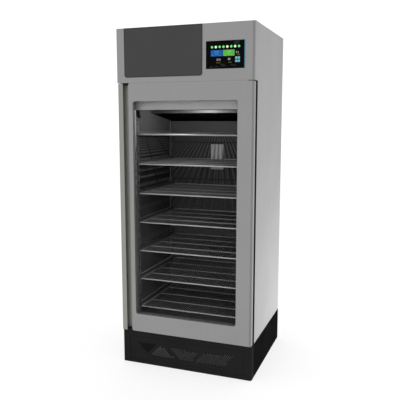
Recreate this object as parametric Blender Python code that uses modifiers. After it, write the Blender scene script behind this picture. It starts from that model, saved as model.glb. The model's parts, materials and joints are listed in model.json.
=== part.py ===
"""Fish curing cabinet: insulated body, glazed door, wire shelves, cooling unit and controls.

Metres, +Z up, X across the front, and the door faces -Y. The origin is the middle of the base.
Depths are counted from the door's front face, so front(0) is that face.
"""

import math

import bmesh
import bpy
from mathutils import Matrix, Vector

# Clearances
GAP = 0.0003
OVERRUN = 0.002

# Overall sizes
WIDTH = 0.854
HEIGHT = 2.080
DEPTH = 0.742
DOOR_ZONE = 0.061
HEAD_HEIGHT = 0.316
PLINTH_HEIGHT = 0.2165
BODY_RISE = 0.003
PLINTH_BACK_STEP = 0.011

# Insulated walls
SIDE_WALL = 0.0755
BACK_WALL = 0.063
FLOOR_WALL = 0.079
CEILING_WALL = 0.060
LINER = 0.0012
CHAMBER_TOP_DROP = 0.004
HEADER_HEIGHT = 0.1535
HEADER_DEPTH = 0.020
CORNER_RADIUS = 0.004

# Head
SHEET = 0.0015
HEAD_CORNER_RADIUS = 0.007
PANEL_SHEET = 0.0017
PANEL_SCREEN_GAP = 0.022
PANEL_HEIGHT = 0.285
PANEL_LEFT_MARGIN = 0.0525
PANEL_CORNER_RADIUS = 0.016
SCREEN_WIDTH = 0.227
SCREEN_HEIGHT = 0.152
SCREEN_RIGHT_MARGIN = 0.059
SCREEN_TOP_MARGIN = 0.0985
SCREEN_BORDER = 0.010
SCREEN_CORNER_RADIUS = 0.004
HOUSING_DEPTH = 0.034
CONTROL_BOX_SIZE = (0.300, 0.200, 0.120)
CONTROL_BOX_BACK = 0.330
REAR_SLOT_SIZE = (0.200, 0.008)
REAR_SLOT_PITCH = 0.020
REAR_SLOT_COUNT = 6
REAR_SLOT_RISE = 0.060

# Door
DOOR_TOP_GAP = 0.0035
DOOR_RISE = 0.0014
SKIN_DEPTH = 0.0205
DOOR_DEPTH = 0.052
DOOR_CORNER_RADIUS = 0.008
CORE_INSET = 0.0105
WINDOW_SIDE_MARGIN = 0.099
WINDOW_LEFT_MARGIN = 0.1015
WINDOW_TOP_MARGIN = 0.1045
WINDOW_BOTTOM_MARGIN = 0.114
WINDOW_CORNER_RADIUS = 0.014
GLASS_REBATE = 0.012
GLASS_THICKNESS = 0.004
SPACER_DEPTH = 0.020
GASKET_INSET = 0.025
GASKET_WIDTH = 0.022
GASKET_CLEARANCE = 0.0003
GASKET_END_INSET = 0.012

# Handle profile on the door's left edge
HANDLE_SIDE_INSET = 0.0073
LIP_WIDTH = 0.031
LIP_SHEET = 0.003
FINGER_GAP = 0.0355
FINGER_DEPTH = 0.030

# Hinges
HINGE_SIDE_INSET = 0.022
HINGE_DEPTH = 0.0125
PIN_RADIUS = 0.004
PIN_LENGTH = 0.0235
BUSH_RADIUS = 0.007
BUSH_LENGTH = 0.024
BUSH_CLEARANCE = 0.0003
HINGE_PLATE = 0.0022
HINGE_PLATE_WIDTH = 0.033
HINGE_PLATE_FRONT = 0.006
HINGE_PLATE_EDGE = 0.004
HINGE_TAIL = 0.055
HINGE_SEAT = 0.0004

# Racks and shelves
SHELF_COUNT = 7
HOLES_PER_SHELF = 3
LOWEST_SHELF_RISE = 0.061
TOP_SHELF_DROP = 0.304
SHELF_SIDE_GAP = 0.025
SHELF_FRONT = 0.071
SHELF_BACK_GAP = 0.0105
SHELF_THICKNESS = 0.006
SHELF_RAIL = 0.008
SHELF_BAR = 0.005
SHELF_WIRE = 0.004
SHELF_BAYS = 4
SHELF_COLUMNS = 13
RUNNER_SHEET = 0.002
RUNNER_FLANGE = 0.022
RUNNER_RISE = 0.018
UPRIGHT_DEPTH = 0.009
UPRIGHT_WIDTH = 0.030
UPRIGHT_FRONT = 0.083
UPRIGHT_BACK_GAP = 0.0225
UPRIGHT_ABOVE_SHELF = 0.079
HOLE_RADIUS = 0.0045
HOLE_OFFSET = 0.003

# Chamber fittings
PAN_FRONT = 0.320
PAN_FRONT_RISE = 0.0175
PAN_DROP = 0.051
PAN_SHEET = 0.003
LIP_BAR_HEIGHT = 0.020
LIP_BAR_DEPTH = 0.006
COVER_WIDTH = 0.090
COVER_HEIGHT = 0.173
COVER_DEPTH = 0.009
COVER_OFFSET = -0.009
COVER_TOP_DROP = 0.382
COVER_GROOVE = 0.004
SWITCH_WIDTH = 0.026
SWITCH_HEIGHT = 0.042
SWITCH_DEPTH = 0.020
SWITCH_SETBACK = 0.004
SWITCH_FOOT = 0.007
LAMP_LENGTH = 0.120
LAMP_HEIGHT = 0.024
LAMP_DEPTH = 0.022
LAMP_RISE = 0.008
LENS_INSET = 0.003

# Fans
FAN_HUB_SHARE = 0.36
FAN_BLADES = 5
FAN_BLADE_ANGLE = 32.0
FAN_TIP_GAP = 0.005
BLADE_SHEET = 0.002
HUB_DEPTH = 0.018
SHAFT_RADIUS = 0.003
SHAFT_CLEARANCE = 0.0004
SHROUD_SHEET = 0.002
MOTOR_DEPTH = 0.030
MOTOR_ARM = 0.012

# Evaporator
EVAPORATOR_FAN_RADIUS = 0.066
EVAPORATOR_FAN_SETBACK = 0.030
COIL_SIDE_MARGIN = 0.050
COIL_HEIGHT = 0.140
COIL_SETBACK = 0.105
COIL_BACK_GAP = 0.0895
FIN_COUNT = 14
FIN_SHARE = 0.55
FIN_CUT_SHARE = 0.6

# Plinth and cooling unit
PLINTH_SETBACK = 0.014
PLINTH_SIDE_INSET = 0.0015
PLINTH_SHEET = 0.002
PLINTH_LIFT = 0.003
PLINTH_CORNER_RADIUS = 0.010
GRILLE_SIDE_MARGIN = 0.050
GRILLE_TOP_MARGIN = 0.034
GRILLE_BOTTOM_MARGIN = 0.022
GRILLE_RECESS = 0.0015
VENT_RADIUS = 0.0076
VENT_PITCH = 0.020
VENT_SIDES = 4
VENT_BAND_SIDE_MARGIN = 0.102
VENT_BAND_BOTTOM = 0.072
VENT_BAND_TOP = 0.138
VENT_BAND_OFFSET = -0.006
VENT_BAR_SHARES = ((0.115, 0.0), (0.135, 0.22), (0.41, 0.31), (0.58, 0.70), (0.90, 1.0))
VENT_BAR_HALF = 0.014
BASE_RISE = 0.012
BASE_SHEET = 0.002
FOOT_RADIUS = 0.022
FOOT_PAD = 0.006
STEM_RADIUS = 0.008
FOOT_INSET = 0.060
CONDENSER_LEFT_MARGIN = 0.177
CONDENSER_RIGHT_MARGIN = 0.097
CONDENSER_HEIGHT = 0.165
CONDENSER_DEPTH = 0.045
CONDENSER_SETBACK = 0.012
CONDENSER_FAN_RADIUS = 0.072
CONDENSER_FAN_SETBACK = 0.030
COMPRESSOR_RADIUS = 0.085
COMPRESSOR_HEIGHT = 0.165
COMPRESSOR_SIDE_MARGIN = 0.227
COMPRESSOR_DEPTH = 0.420
TRAY_SIZE = (0.260, 0.240, 0.045)
TRAY_SIDE_MARGIN = 0.107
TRAY_DEPTH = 0.440
TRAY_SHEET = 0.0015
GLAND_RADIUS = 0.014
GLAND_LENGTH = 0.010
GLAND_HOLE_SHARE = 0.4
GLAND_SIDE_MARGIN = 0.127
GLAND_HEIGHT = 0.110

# Places that follow from the sizes
BODY_BOTTOM = PLINTH_HEIGHT + BODY_RISE
HEAD_BOTTOM = HEIGHT - HEAD_HEIGHT
INSIDE_X = WIDTH / 2 - SIDE_WALL - GAP - LINER
BACK_FACE = DEPTH - PANEL_SHEET - GAP - PLINTH_BACK_STEP
INSIDE_BACK = BACK_FACE - BACK_WALL - GAP - LINER
INSIDE_FLOOR = BODY_BOTTOM + FLOOR_WALL + GAP + LINER
INSIDE_TOP = HEAD_BOTTOM - CHAMBER_TOP_DROP
HEADER_BOTTOM = INSIDE_TOP - HEADER_HEIGHT
CEILING_TOP = INSIDE_TOP + LINER + GAP + CEILING_WALL
DOOR_BOTTOM = BODY_BOTTOM + DOOR_RISE
DOOR_TOP = HEAD_BOTTOM - DOOR_TOP_GAP
HANDLE_LEFT = -WIDTH / 2 + HANDLE_SIDE_INSET
LIP_RIGHT = HANDLE_LEFT + LIP_WIDTH
DOOR_LEFT = LIP_RIGHT + FINGER_GAP
DOOR_RIGHT = WIDTH / 2
HINGE_X = DOOR_RIGHT - HINGE_SIDE_INSET
WINDOW_X = (-WIDTH / 2 + WINDOW_LEFT_MARGIN, WIDTH / 2 - WINDOW_SIDE_MARGIN)
WINDOW_Z = (DOOR_BOTTOM + WINDOW_BOTTOM_MARGIN, DOOR_TOP - WINDOW_TOP_MARGIN)
LOWEST_SHELF = INSIDE_FLOOR + LOWEST_SHELF_RISE
TOP_SHELF = INSIDE_TOP - TOP_SHELF_DROP
SHELF_PITCH = (TOP_SHELF - LOWEST_SHELF) / (SHELF_COUNT - 1)
HOLE_PITCH = SHELF_PITCH / HOLES_PER_SHELF
UPRIGHT_TOP = TOP_SHELF + UPRIGHT_ABOVE_SHELF
SHELF_BACK = INSIDE_BACK - SHELF_BACK_GAP
UPRIGHT_BACK = INSIDE_BACK - UPRIGHT_BACK_GAP - UPRIGHT_WIDTH
PAN_FRONT_Z = HEADER_BOTTOM - PAN_FRONT_RISE
BASE_TOP = BASE_RISE + BASE_SHEET

COLOURS = {
    "brushed_steel": ((0.33, 0.33, 0.33), 0.35, 0.9),
    "side_steel": ((0.62, 0.62, 0.62), 0.40, 0.6),
    "liner_steel": ((0.25, 0.25, 0.25), 0.30, 0.9),
    "dark_panel": ((0.055, 0.055, 0.055), 0.45, 0.1),
    "screen_black": ((0.012, 0.014, 0.014), 0.12, 0.0),
    "black_plastic": ((0.010, 0.010, 0.010), 0.55, 0.0),
    "plinth_black": ((0.013, 0.013, 0.013), 0.50, 0.0),
    "grey_plastic": ((0.28, 0.28, 0.28), 0.50, 0.0),
    "aluminium": ((0.40, 0.40, 0.36), 0.40, 0.8),
    "glass": ((0.70, 0.75, 0.75), 0.05, 0.0),
    "rubber": ((0.012, 0.012, 0.012), 0.80, 0.0),
    "wire_steel": ((0.45, 0.45, 0.45), 0.30, 0.9),
    "fin_aluminium": ((0.50, 0.50, 0.50), 0.45, 0.8),
    "compressor_black": ((0.015, 0.015, 0.015), 0.45, 0.2),
    "lamp_white": ((0.80, 0.80, 0.78), 0.40, 0.0),
    "hinge_steel": ((0.20, 0.20, 0.20), 0.40, 0.8),
    "nylon": ((0.60, 0.60, 0.57), 0.60, 0.0),
    "galvanised": ((0.35, 0.36, 0.37), 0.50, 0.7),
}


def front(depth):
    """World Y of a plane this far behind the door's front face."""
    return -DEPTH / 2 + PANEL_SHEET + GAP + depth


def clear_scene():
    for item in list(bpy.data.objects):
        bpy.data.objects.remove(item, do_unlink=True)


def new_collection(name):
    group = bpy.data.collections.new(name)
    bpy.context.scene.collection.children.link(group)
    return group


def make_material(name):
    colour, roughness, metallic = COLOURS[name]
    made = bpy.data.materials.new(name)
    made.use_nodes = True
    shader = made.node_tree.nodes["Principled BSDF"]
    shader.inputs["Base Color"].default_value = (*colour, 1.0)
    shader.inputs["Roughness"].default_value = roughness
    shader.inputs["Metallic"].default_value = metallic
    return made


def add_object(name, data, finish):
    """Links a node's object, with its finish, to the cabinet's collection."""
    made = bpy.data.objects.new(name, data)
    PARTS.objects.link(made)
    data.materials.append(bpy.data.materials.get(finish) or make_material(finish))
    return made


def add_helper(name, mesh):
    """Links a cutter, which isn't part of the cabinet."""
    made = bpy.data.objects.new(name, mesh)
    CUTTERS.objects.link(made)
    made.hide_render = True
    made.display_type = "WIRE"
    return made


def middle(span):
    return (span[0] + span[1]) / 2


def box_bmesh(x, y, z, rounds=(), radius=0.0, steps=3):
    """A box about its own middle. rounds names edges by the signs of their middles."""
    shape = bmesh.new()
    bmesh.ops.create_cube(shape, size=1.0)
    size = Vector((x[1] - x[0], y[1] - y[0], z[1] - z[0]))
    bmesh.ops.scale(shape, vec=size, verts=shape.verts)
    chosen = [edge for edge in shape.edges if signs_of(edge) in rounds]
    if chosen:
        bmesh.ops.bevel(
            shape, geom=chosen, offset=radius, offset_type="OFFSET", segments=steps,
            profile=0.5, affect="EDGES", material=-1,
        )
    return shape


def signs_of(edge):
    centre = (edge.verts[0].co + edge.verts[1].co) / 2
    return tuple((value > GAP) - (value < -GAP) for value in centre)


def mesh_from(name, shape):
    mesh = bpy.data.meshes.new(name)
    shape.to_mesh(mesh)
    shape.free()
    return mesh


def box(name, x, y, z, finish, rounds=(), radius=0.0, steps=3):
    made = add_object(name, mesh_from(name, box_bmesh(x, y, z, rounds, radius, steps)), finish)
    made.location = (middle(x), middle(y), middle(z))
    return made


def box_cutter(name, x, y, z, rounds=(), radius=0.0, steps=3):
    made = add_helper(name, mesh_from(name, box_bmesh(x, y, z, rounds, radius, steps)))
    made.location = (middle(x), middle(y), middle(z))
    return made


def boolean(piece, other, operation="DIFFERENCE"):
    step = piece.modifiers.new(other.name, "BOOLEAN")
    step.operation = operation
    step.solver = "EXACT"
    step.object = other


def cut_box(piece, label, x, y, z, rounds=(), radius=0.0, steps=3):
    boolean(piece, box_cutter(f"{piece.name}_{label}", x, y, z, rounds, radius, steps))


def through(span):
    """A span made longer by the overrun at both ends."""
    return (span[0] - OVERRUN, span[1] + OVERRUN)


def shrink(span, margin):
    return (span[0] + margin, span[1] - margin)


def add_cylinder(shape, centre, radius, length, axis="Z", sides=24):
    """Adds a cylinder about a centre, along one axis, to a bmesh."""
    turns = {"X": Matrix.Rotation(math.pi / 2, 4, "Y"), "Y": Matrix.Rotation(math.pi / 2, 4, "X")}
    place = Matrix.Translation(centre) @ turns.get(axis, Matrix.Identity(4))
    bmesh.ops.create_cone(
        shape, cap_ends=True, segments=sides, radius1=radius, radius2=radius, depth=length,
        matrix=place,
    )


def cylinder_mesh(name, radius, length, axis="Z", sides=24):
    shape = bmesh.new()
    add_cylinder(shape, (0, 0, 0), radius, length, axis, sides)
    mesh = mesh_from(name, shape)
    mesh.shade_smooth()
    mesh.set_sharp_from_angle(angle=math.radians(40))
    return mesh


def cylinder(name, centre, radius, length, finish, axis="Z", sides=24):
    made = add_object(name, cylinder_mesh(name, radius, length, axis, sides), finish)
    made.location = centre
    return made


def cylinder_cutter(name, centre, radius, length, axis="Z", sides=24):
    made = add_helper(name, cylinder_mesh(name, radius, length, axis, sides))
    made.location = centre
    return made


def turned(name, profile, place, finish, steps=16):
    """A turned piece. The profile's (radius, height) points run from its top to its bottom."""
    mesh = bpy.data.meshes.new(name)
    corners = [(radius, 0, height) for radius, height in profile]
    mesh.from_pydata(corners, [(i, i + 1) for i in range(len(corners) - 1)], [])
    made = add_object(name, mesh, finish)
    made.location = place
    turn = made.modifiers.new("turn", "SCREW")
    turn.steps = steps
    turn.render_steps = steps
    turn.use_merge_vertices = True
    turn.merge_threshold = GAP / 10
    turn.use_smooth_shade = True
    return made


def outline_curve(name, points, half_length):
    """A flat closed outline, given in local X and Y, with a thickness along local Z."""
    curve = bpy.data.curves.new(name, "CURVE")
    curve.dimensions = "2D"
    curve.fill_mode = "BOTH"
    curve.extrude = half_length
    spline = curve.splines.new("POLY")
    spline.points.add(len(points) - 1)
    for point, (across, along) in zip(spline.points, points):
        point.co = (across, along, 0, 1)
    spline.use_cyclic_u = True
    return curve


def mesh_of_curve(curve, matrix):
    """The outline's solid as a welded mesh, turned by the matrix."""
    holder = bpy.data.objects.new(curve.name, curve)
    CUTTERS.objects.link(holder)
    graph = bpy.context.evaluated_depsgraph_get()
    mesh = bpy.data.meshes.new_from_object(holder.evaluated_get(graph))
    bpy.data.objects.remove(holder)
    shape = bmesh.new()
    shape.from_mesh(mesh)
    bmesh.ops.transform(shape, matrix=matrix, verts=shape.verts)
    bmesh.ops.remove_doubles(shape, verts=shape.verts, dist=GAP / 10)
    bmesh.ops.recalc_face_normals(shape, faces=shape.faces)
    shape.to_mesh(mesh)
    shape.free()
    return mesh


def open_shell(name, x, y, z, open_sides, wall, finish, rounds=(), radius=0.0):
    """A folded sheet: a box without the named sides, given its wall inwards."""
    shape = box_bmesh(x, y, z, rounds, radius)
    gone = [face for face in shape.faces if side_of(face) in open_sides]
    bmesh.ops.delete(shape, geom=gone, context="FACES")
    made = add_object(name, mesh_from(name, shape), finish)
    made.location = (middle(x), middle(y), middle(z))
    solid = made.modifiers.new("wall", "SOLIDIFY")
    solid.thickness = wall
    solid.offset = -1
    solid.use_even_offset = True
    return made


def side_of(face):
    """The signed axis that a face of a box looks along, such as -Y."""
    values = [round(value) for value in face.normal]
    for axis, value in zip("XYZ", values):
        if abs(value) == 1 and sum(map(abs, values)) == 1:
            return ("-" if value < 0 else "+") + axis
    return ""


def hang(piece, carrier):
    """Parents a piece to a carrier and leaves it where it is."""
    piece.parent = carrier
    piece.matrix_parent_inverse = Matrix.Translation(-carrier.location)


def mirrored(span, side):
    return span if side > 0 else (-span[1], -span[0])


def build_body():
    body_y = (front(DOOR_ZONE), front(BACK_FACE))
    between = (-INSIDE_X - LINER, INSIDE_X + LINER)
    for side, name in ((-1, "left"), (1, "right")):
        x = mirrored((WIDTH / 2 - SIDE_WALL, WIDTH / 2), side)
        box(
            f"side_panel_{name}", x, body_y, (BODY_BOTTOM, HEIGHT), "side_steel",
            rounds=((side, 1, 0),), radius=CORNER_RADIUS,
        )
    back_y = (front(BACK_FACE - BACK_WALL), front(BACK_FACE))
    box("back_panel", between, back_y, (BODY_BOTTOM, CEILING_TOP), "side_steel")
    inner_y = (body_y[0], back_y[0] - GAP)
    box("floor_panel", between, inner_y, (BODY_BOTTOM, BODY_BOTTOM + FLOOR_WALL), "brushed_steel")
    ceiling_z = (INSIDE_TOP + LINER + GAP, CEILING_TOP)
    box("ceiling_panel", between, inner_y, ceiling_z, "galvanised")
    roof_z = (HEIGHT - SHEET, HEIGHT)
    box("roof_cover", between, body_y, roof_z, "side_steel")
    open_shell(
        "chamber_liner", between, inner_y,
        (INSIDE_FLOOR - LINER, INSIDE_TOP + LINER), ("-Y",), LINER, "liner_steel",
    )
    header_y = (body_y[0], body_y[0] + HEADER_DEPTH)
    header_z = (HEADER_BOTTOM, INSIDE_TOP - GAP)
    box("header_panel", shrink((-INSIDE_X, INSIDE_X), GAP), header_y, header_z, "brushed_steel")


def build_rear_cover():
    x = (-INSIDE_X - LINER, INSIDE_X + LINER)
    y = (front(BACK_FACE) - SHEET, front(BACK_FACE))
    z = (CEILING_TOP + GAP, HEIGHT - SHEET - GAP)
    cover = box("rear_service_cover", x, y, z, "galvanised")
    slots = bmesh.new()
    for index in range(REAR_SLOT_COUNT):
        rise = z[0] + REAR_SLOT_RISE + index * REAR_SLOT_PITCH
        size = Vector((REAR_SLOT_SIZE[0], SHEET + 2 * OVERRUN, REAR_SLOT_SIZE[1]))
        place = Matrix.Translation((0, middle(y), rise)) @ Matrix.Diagonal((*size, 1))
        bmesh.ops.create_cube(slots, size=1.0, matrix=place)
    boolean(cover, add_helper("rear_service_cover_slots", mesh_from("rear_slots", slots)))


def build_head():
    x = (-WIDTH / 2, WIDTH / 2)
    y = (front(0), front(DOOR_ZONE) - GAP)
    fascia = open_shell(
        "head_fascia", x, y, (HEAD_BOTTOM, HEIGHT), ("+Y",), SHEET, "brushed_steel",
        rounds=((-1, -1, 0), (1, -1, 0)), radius=HEAD_CORNER_RADIUS,
    )
    overlay_y = (front(0) - GAP - PANEL_SHEET, front(0) - GAP)
    screen_right = WIDTH / 2 - SCREEN_RIGHT_MARGIN
    screen_x = (screen_right - SCREEN_WIDTH, screen_right)
    panel_x = (-WIDTH / 2 + PANEL_LEFT_MARGIN, screen_x[0] - PANEL_SCREEN_GAP)
    box(
        "dark_front_panel", panel_x, overlay_y, (HEIGHT - PANEL_HEIGHT, HEIGHT), "dark_panel",
        rounds=((-1, 0, -1), (1, 0, -1)), radius=PANEL_CORNER_RADIUS, steps=4,
    )
    screen_top = HEIGHT - SCREEN_TOP_MARGIN
    screen_z = (screen_top - SCREEN_HEIGHT, screen_top)
    corners = tuple((across, 0, up) for across in (-1, 1) for up in (-1, 1))
    box(
        "touch_screen_glass", screen_x, overlay_y, screen_z, "screen_black",
        rounds=corners, radius=SCREEN_CORNER_RADIUS, steps=2,
    )
    hole_x = shrink(screen_x, SCREEN_BORDER)
    hole_z = shrink(screen_z, SCREEN_BORDER)
    cut_box(fascia, "window", hole_x, through((y[0], y[0] + SHEET)), hole_z)
    box(
        "touch_screen_housing", shrink(hole_x, GAP), (y[0], y[0] + HOUSING_DEPTH),
        shrink(hole_z, GAP), "black_plastic",
    )
    long, deep, tall = CONTROL_BOX_SIZE
    box_right = INSIDE_X - GAP
    box(
        "control_box", (box_right - long, box_right),
        (front(CONTROL_BOX_BACK - deep), front(CONTROL_BOX_BACK)),
        (CEILING_TOP + GAP, CEILING_TOP + GAP + tall), "grey_plastic",
    )


def ring(name, x, y, z, hole_x, hole_z, finish, rounds=(), radius=0.0, hole_radius=0.0):
    """A frame in the door's plane, with a hole through it along Y."""
    made = box(name, x, y, z, finish, rounds, radius)
    corners = tuple((across, 0, up) for across in (-1, 1) for up in (-1, 1))
    picked = corners if hole_radius else ()
    cut_box(made, "hole", hole_x, through(y), hole_z, picked, hole_radius)
    return made


def build_door(axis):
    door_z = (DOOR_BOTTOM, DOOR_TOP)
    skin = ring(
        "door_skin", (DOOR_LEFT, DOOR_RIGHT), (front(0), front(SKIN_DEPTH)), door_z,
        WINDOW_X, WINDOW_Z, "brushed_steel",
        rounds=((1, -1, 0),), radius=DOOR_CORNER_RADIUS, hole_radius=WINDOW_CORNER_RADIUS,
    )
    cut_hinge_bores(skin)
    glass_x = (WINDOW_X[0] - GLASS_REBATE, WINDOW_X[1] + GLASS_REBATE)
    glass_z = (WINDOW_Z[0] - GLASS_REBATE, WINDOW_Z[1] + GLASS_REBATE)
    core_x = (DOOR_LEFT, DOOR_RIGHT - CORE_INSET)
    pocket_x = (glass_x[0] - GAP, glass_x[1] + GAP)
    pocket_z = (glass_z[0] - GAP, glass_z[1] + GAP)
    ring(
        "door_core", core_x, (front(SKIN_DEPTH) + GAP, front(DOOR_DEPTH)), door_z,
        pocket_x, pocket_z, "black_plastic",
    )
    build_glazing(glass_x, glass_z)
    build_gasket()
    build_handle()
    names = ("door_skin", "door_core", "glass_outer", "glass_spacer", "glass_inner")
    for name in names + ("door_gasket", "handle_profile"):
        hang(bpy.data.objects[name], axis)


def build_glazing(glass_x, glass_z):
    outer = front(SKIN_DEPTH) + GAP
    spacer = outer + GLASS_THICKNESS + GAP
    inner = spacer + SPACER_DEPTH + GAP
    box("glass_outer", glass_x, (outer, outer + GLASS_THICKNESS), glass_z, "glass")
    ring(
        "glass_spacer", glass_x, (spacer, spacer + SPACER_DEPTH), glass_z,
        WINDOW_X, WINDOW_Z, "aluminium", hole_radius=WINDOW_CORNER_RADIUS,
    )
    box("glass_inner", glass_x, (inner, inner + GLASS_THICKNESS), glass_z, "glass")


def build_gasket():
    side = WIDTH / 2 - GASKET_INSET
    x = (-side, side)
    z = shrink((DOOR_BOTTOM, DOOR_TOP), GASKET_END_INSET)
    y = (front(DOOR_DEPTH) + GAP, front(DOOR_ZONE) - GASKET_CLEARANCE)
    ring("door_gasket", x, y, z, shrink(x, GASKET_WIDTH), shrink(z, GASKET_WIDTH), "rubber")


def build_handle():
    """A channel with a front lip. The fingers reach behind the lip through the open gap."""
    right = DOOR_LEFT - GAP
    floor = front(FINGER_DEPTH)
    inner = HANDLE_LEFT + LIP_SHEET
    profile = [
        (HANDLE_LEFT, front(0)),
        (LIP_RIGHT, front(0)),
        (LIP_RIGHT, front(LIP_SHEET)),
        (inner, front(LIP_SHEET)),
        (inner, floor),
        (right, floor),
        (right, front(DOOR_DEPTH)),
        (HANDLE_LEFT, front(DOOR_DEPTH)),
    ]
    curve = outline_curve("handle_profile", profile, (DOOR_TOP - DOOR_BOTTOM) / 2)
    mesh = mesh_of_curve(curve, Matrix.Identity(4))
    made = add_object("handle_profile", mesh, "aluminium")
    made.location.z = (DOOR_TOP + DOOR_BOTTOM) / 2


def hinge_ends():
    """For each hinge: its name, the door's end there, and which way the door lies from it."""
    return (("bottom", DOOR_BOTTOM, 1), ("top", DOOR_TOP, -1))


def cut_hinge_bores(skin):
    for name, end, into in hinge_ends():
        length = BUSH_LENGTH + GAP + OVERRUN
        centre = (HINGE_X, front(HINGE_DEPTH), end + into * (length / 2 - OVERRUN))
        radius = BUSH_RADIUS + BUSH_CLEARANCE
        boolean(skin, cylinder_cutter(f"door_skin_bore_{name}", centre, radius, length))


def build_hinges(axis):
    plate_x = (WIDTH / 2 - HINGE_PLATE_EDGE - HINGE_PLATE_WIDTH, WIDTH / 2 - HINGE_PLATE_EDGE)
    under = BODY_BOTTOM - HINGE_SEAT
    box(
        "hinge_plate_bottom", plate_x, (front(HINGE_PLATE_FRONT), front(DOOR_ZONE + HINGE_TAIL)),
        (under - HINGE_PLATE, under), "hinge_steel",
    )
    over = HEAD_BOTTOM - GAP
    box(
        "hinge_plate_top", plate_x, (front(HINGE_PLATE_FRONT), front(DOOR_ZONE) - GAP),
        (over - HINGE_PLATE, over), "hinge_steel",
    )
    starts = {"bottom": under + GAP, "top": over - HINGE_PLATE - GAP}
    for name, end, into in hinge_ends():
        centre_z = starts[name] + into * PIN_LENGTH / 2
        place = (HINGE_X, front(HINGE_DEPTH), centre_z)
        cylinder(f"hinge_pin_{name}", place, PIN_RADIUS, PIN_LENGTH, "hinge_steel", sides=16)
        place = (HINGE_X, front(HINGE_DEPTH), end + into * BUSH_LENGTH / 2)
        bush = cylinder(f"hinge_bush_{name}", place, BUSH_RADIUS, BUSH_LENGTH, "nylon")
        bore = cylinder_cutter(
            f"hinge_bush_{name}_bore", place, PIN_RADIUS + BUSH_CLEARANCE,
            BUSH_LENGTH + 2 * OVERRUN, sides=16,
        )
        boolean(bush, bore)
        hang(bush, axis)


def shelf_heights():
    return [LOWEST_SHELF + index * SHELF_PITCH for index in range(SHELF_COUNT)]


def shelf_holes(x, y, z):
    """One cutter block for each gap between the shelf's wires and bars."""
    holes = bmesh.new()
    inner_x = shrink(x, SHELF_RAIL)
    inner_y = shrink(y, SHELF_RAIL)
    wide = (inner_x[1] - inner_x[0] - (SHELF_COLUMNS - 1) * SHELF_WIRE) / SHELF_COLUMNS
    deep = (inner_y[1] - inner_y[0] - (SHELF_BAYS - 1) * SHELF_BAR) / SHELF_BAYS
    size = Matrix.Diagonal((wide, deep, z[1] - z[0] + 2 * OVERRUN, 1))
    for column in range(SHELF_COLUMNS):
        for bay in range(SHELF_BAYS):
            across = inner_x[0] + column * (wide + SHELF_WIRE) + wide / 2
            along = inner_y[0] + bay * (deep + SHELF_BAR) + deep / 2
            place = Matrix.Translation((across, along, middle(z)))
            bmesh.ops.create_cube(holes, size=1.0, matrix=place @ size)
    return mesh_from("shelf_holes", holes)


def build_shelves():
    """Seven wire shelves, counted from the top, that share one lattice."""
    x = shrink((-INSIDE_X, INSIDE_X), SHELF_SIDE_GAP)
    y = (front(SHELF_FRONT), front(SHELF_BACK))
    z = (-SHELF_THICKNESS / 2, SHELF_THICKNESS / 2)
    for index, height in enumerate(reversed(shelf_heights())):
        name = f"shelf_{index + 1}"
        shelf = box(name, x, y, z, "wire_steel")
        shelf.location.z = height
        holes = add_helper(f"{name}_holes", shelf_holes(x, y, z))
        holes.location.z = height
        boolean(shelf, holes)


def runner_mesh(side):
    """The rack's seven angle runners, each a flange under a shelf and a web beside it."""
    web = INSIDE_X - UPRIGHT_DEPTH
    inner = web - RUNNER_SHEET
    tip = inner - RUNNER_FLANGE
    top = -SHELF_THICKNESS / 2 - GAP
    points = [
        (tip, top - RUNNER_SHEET),
        (web + GAP, top - RUNNER_SHEET),
        (web + GAP, RUNNER_RISE),
        (inner, RUNNER_RISE),
        (inner, top),
        (tip, top),
    ]
    points = [(side * across, up) for across, up in points]
    y = (UPRIGHT_FRONT, UPRIGHT_BACK + UPRIGHT_WIDTH)
    turn = Matrix.Rotation(math.pi / 2, 4, "X")
    bar = mesh_of_curve(outline_curve("runner", points, (y[1] - y[0]) / 2), turn)
    joined = bmesh.new()
    for height in shelf_heights():
        start = len(joined.verts)
        joined.from_mesh(bar)
        joined.verts.ensure_lookup_table()
        shift = Vector((0, front(middle(y)), height))
        bmesh.ops.translate(joined, vec=shift, verts=joined.verts[start:])
    return mesh_from("runners", joined)


def upright_spans():
    return (
        (front(UPRIGHT_FRONT), front(UPRIGHT_FRONT + UPRIGHT_WIDTH)),
        (front(UPRIGHT_BACK), front(UPRIGHT_BACK + UPRIGHT_WIDTH)),
    )


def rack_holes(x):
    """The empty hook holes above each shelf, in both uprights."""
    holes = bmesh.new()
    top = UPRIGHT_TOP - HOLE_PITCH / 4
    for height in shelf_heights():
        for step in range(1, HOLES_PER_SHELF):
            rise = height + HOLE_OFFSET + step * HOLE_PITCH
            if rise > top:
                continue
            for span in upright_spans():
                centre = (middle(x), middle(span), rise)
                add_cylinder(holes, centre, HOLE_RADIUS, x[1] - x[0] + 2 * OVERRUN, "X", 6)
    return mesh_from("rack_holes", holes)


def build_racks():
    """On each side wall, two perforated uprights that carry the runners."""
    for side, name in ((-1, "rack_left"), (1, "rack_right")):
        x = mirrored((INSIDE_X - UPRIGHT_DEPTH, INSIDE_X - GAP), side)
        z = (INSIDE_FLOOR + GAP, UPRIGHT_TOP)
        uprights = bmesh.new()
        for span in upright_spans():
            size = Matrix.Diagonal((x[1] - x[0], span[1] - span[0], z[1] - z[0], 1))
            place = Matrix.Translation((middle(x), middle(span), middle(z)))
            bmesh.ops.create_cube(uprights, size=1.0, matrix=place @ size)
        rack = add_object(name, mesh_from(name, uprights), "liner_steel")
        boolean(rack, add_helper(f"{name}_holes", rack_holes(x)))
        boolean(rack, add_helper(f"{name}_runners", runner_mesh(side)), "UNION")


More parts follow.
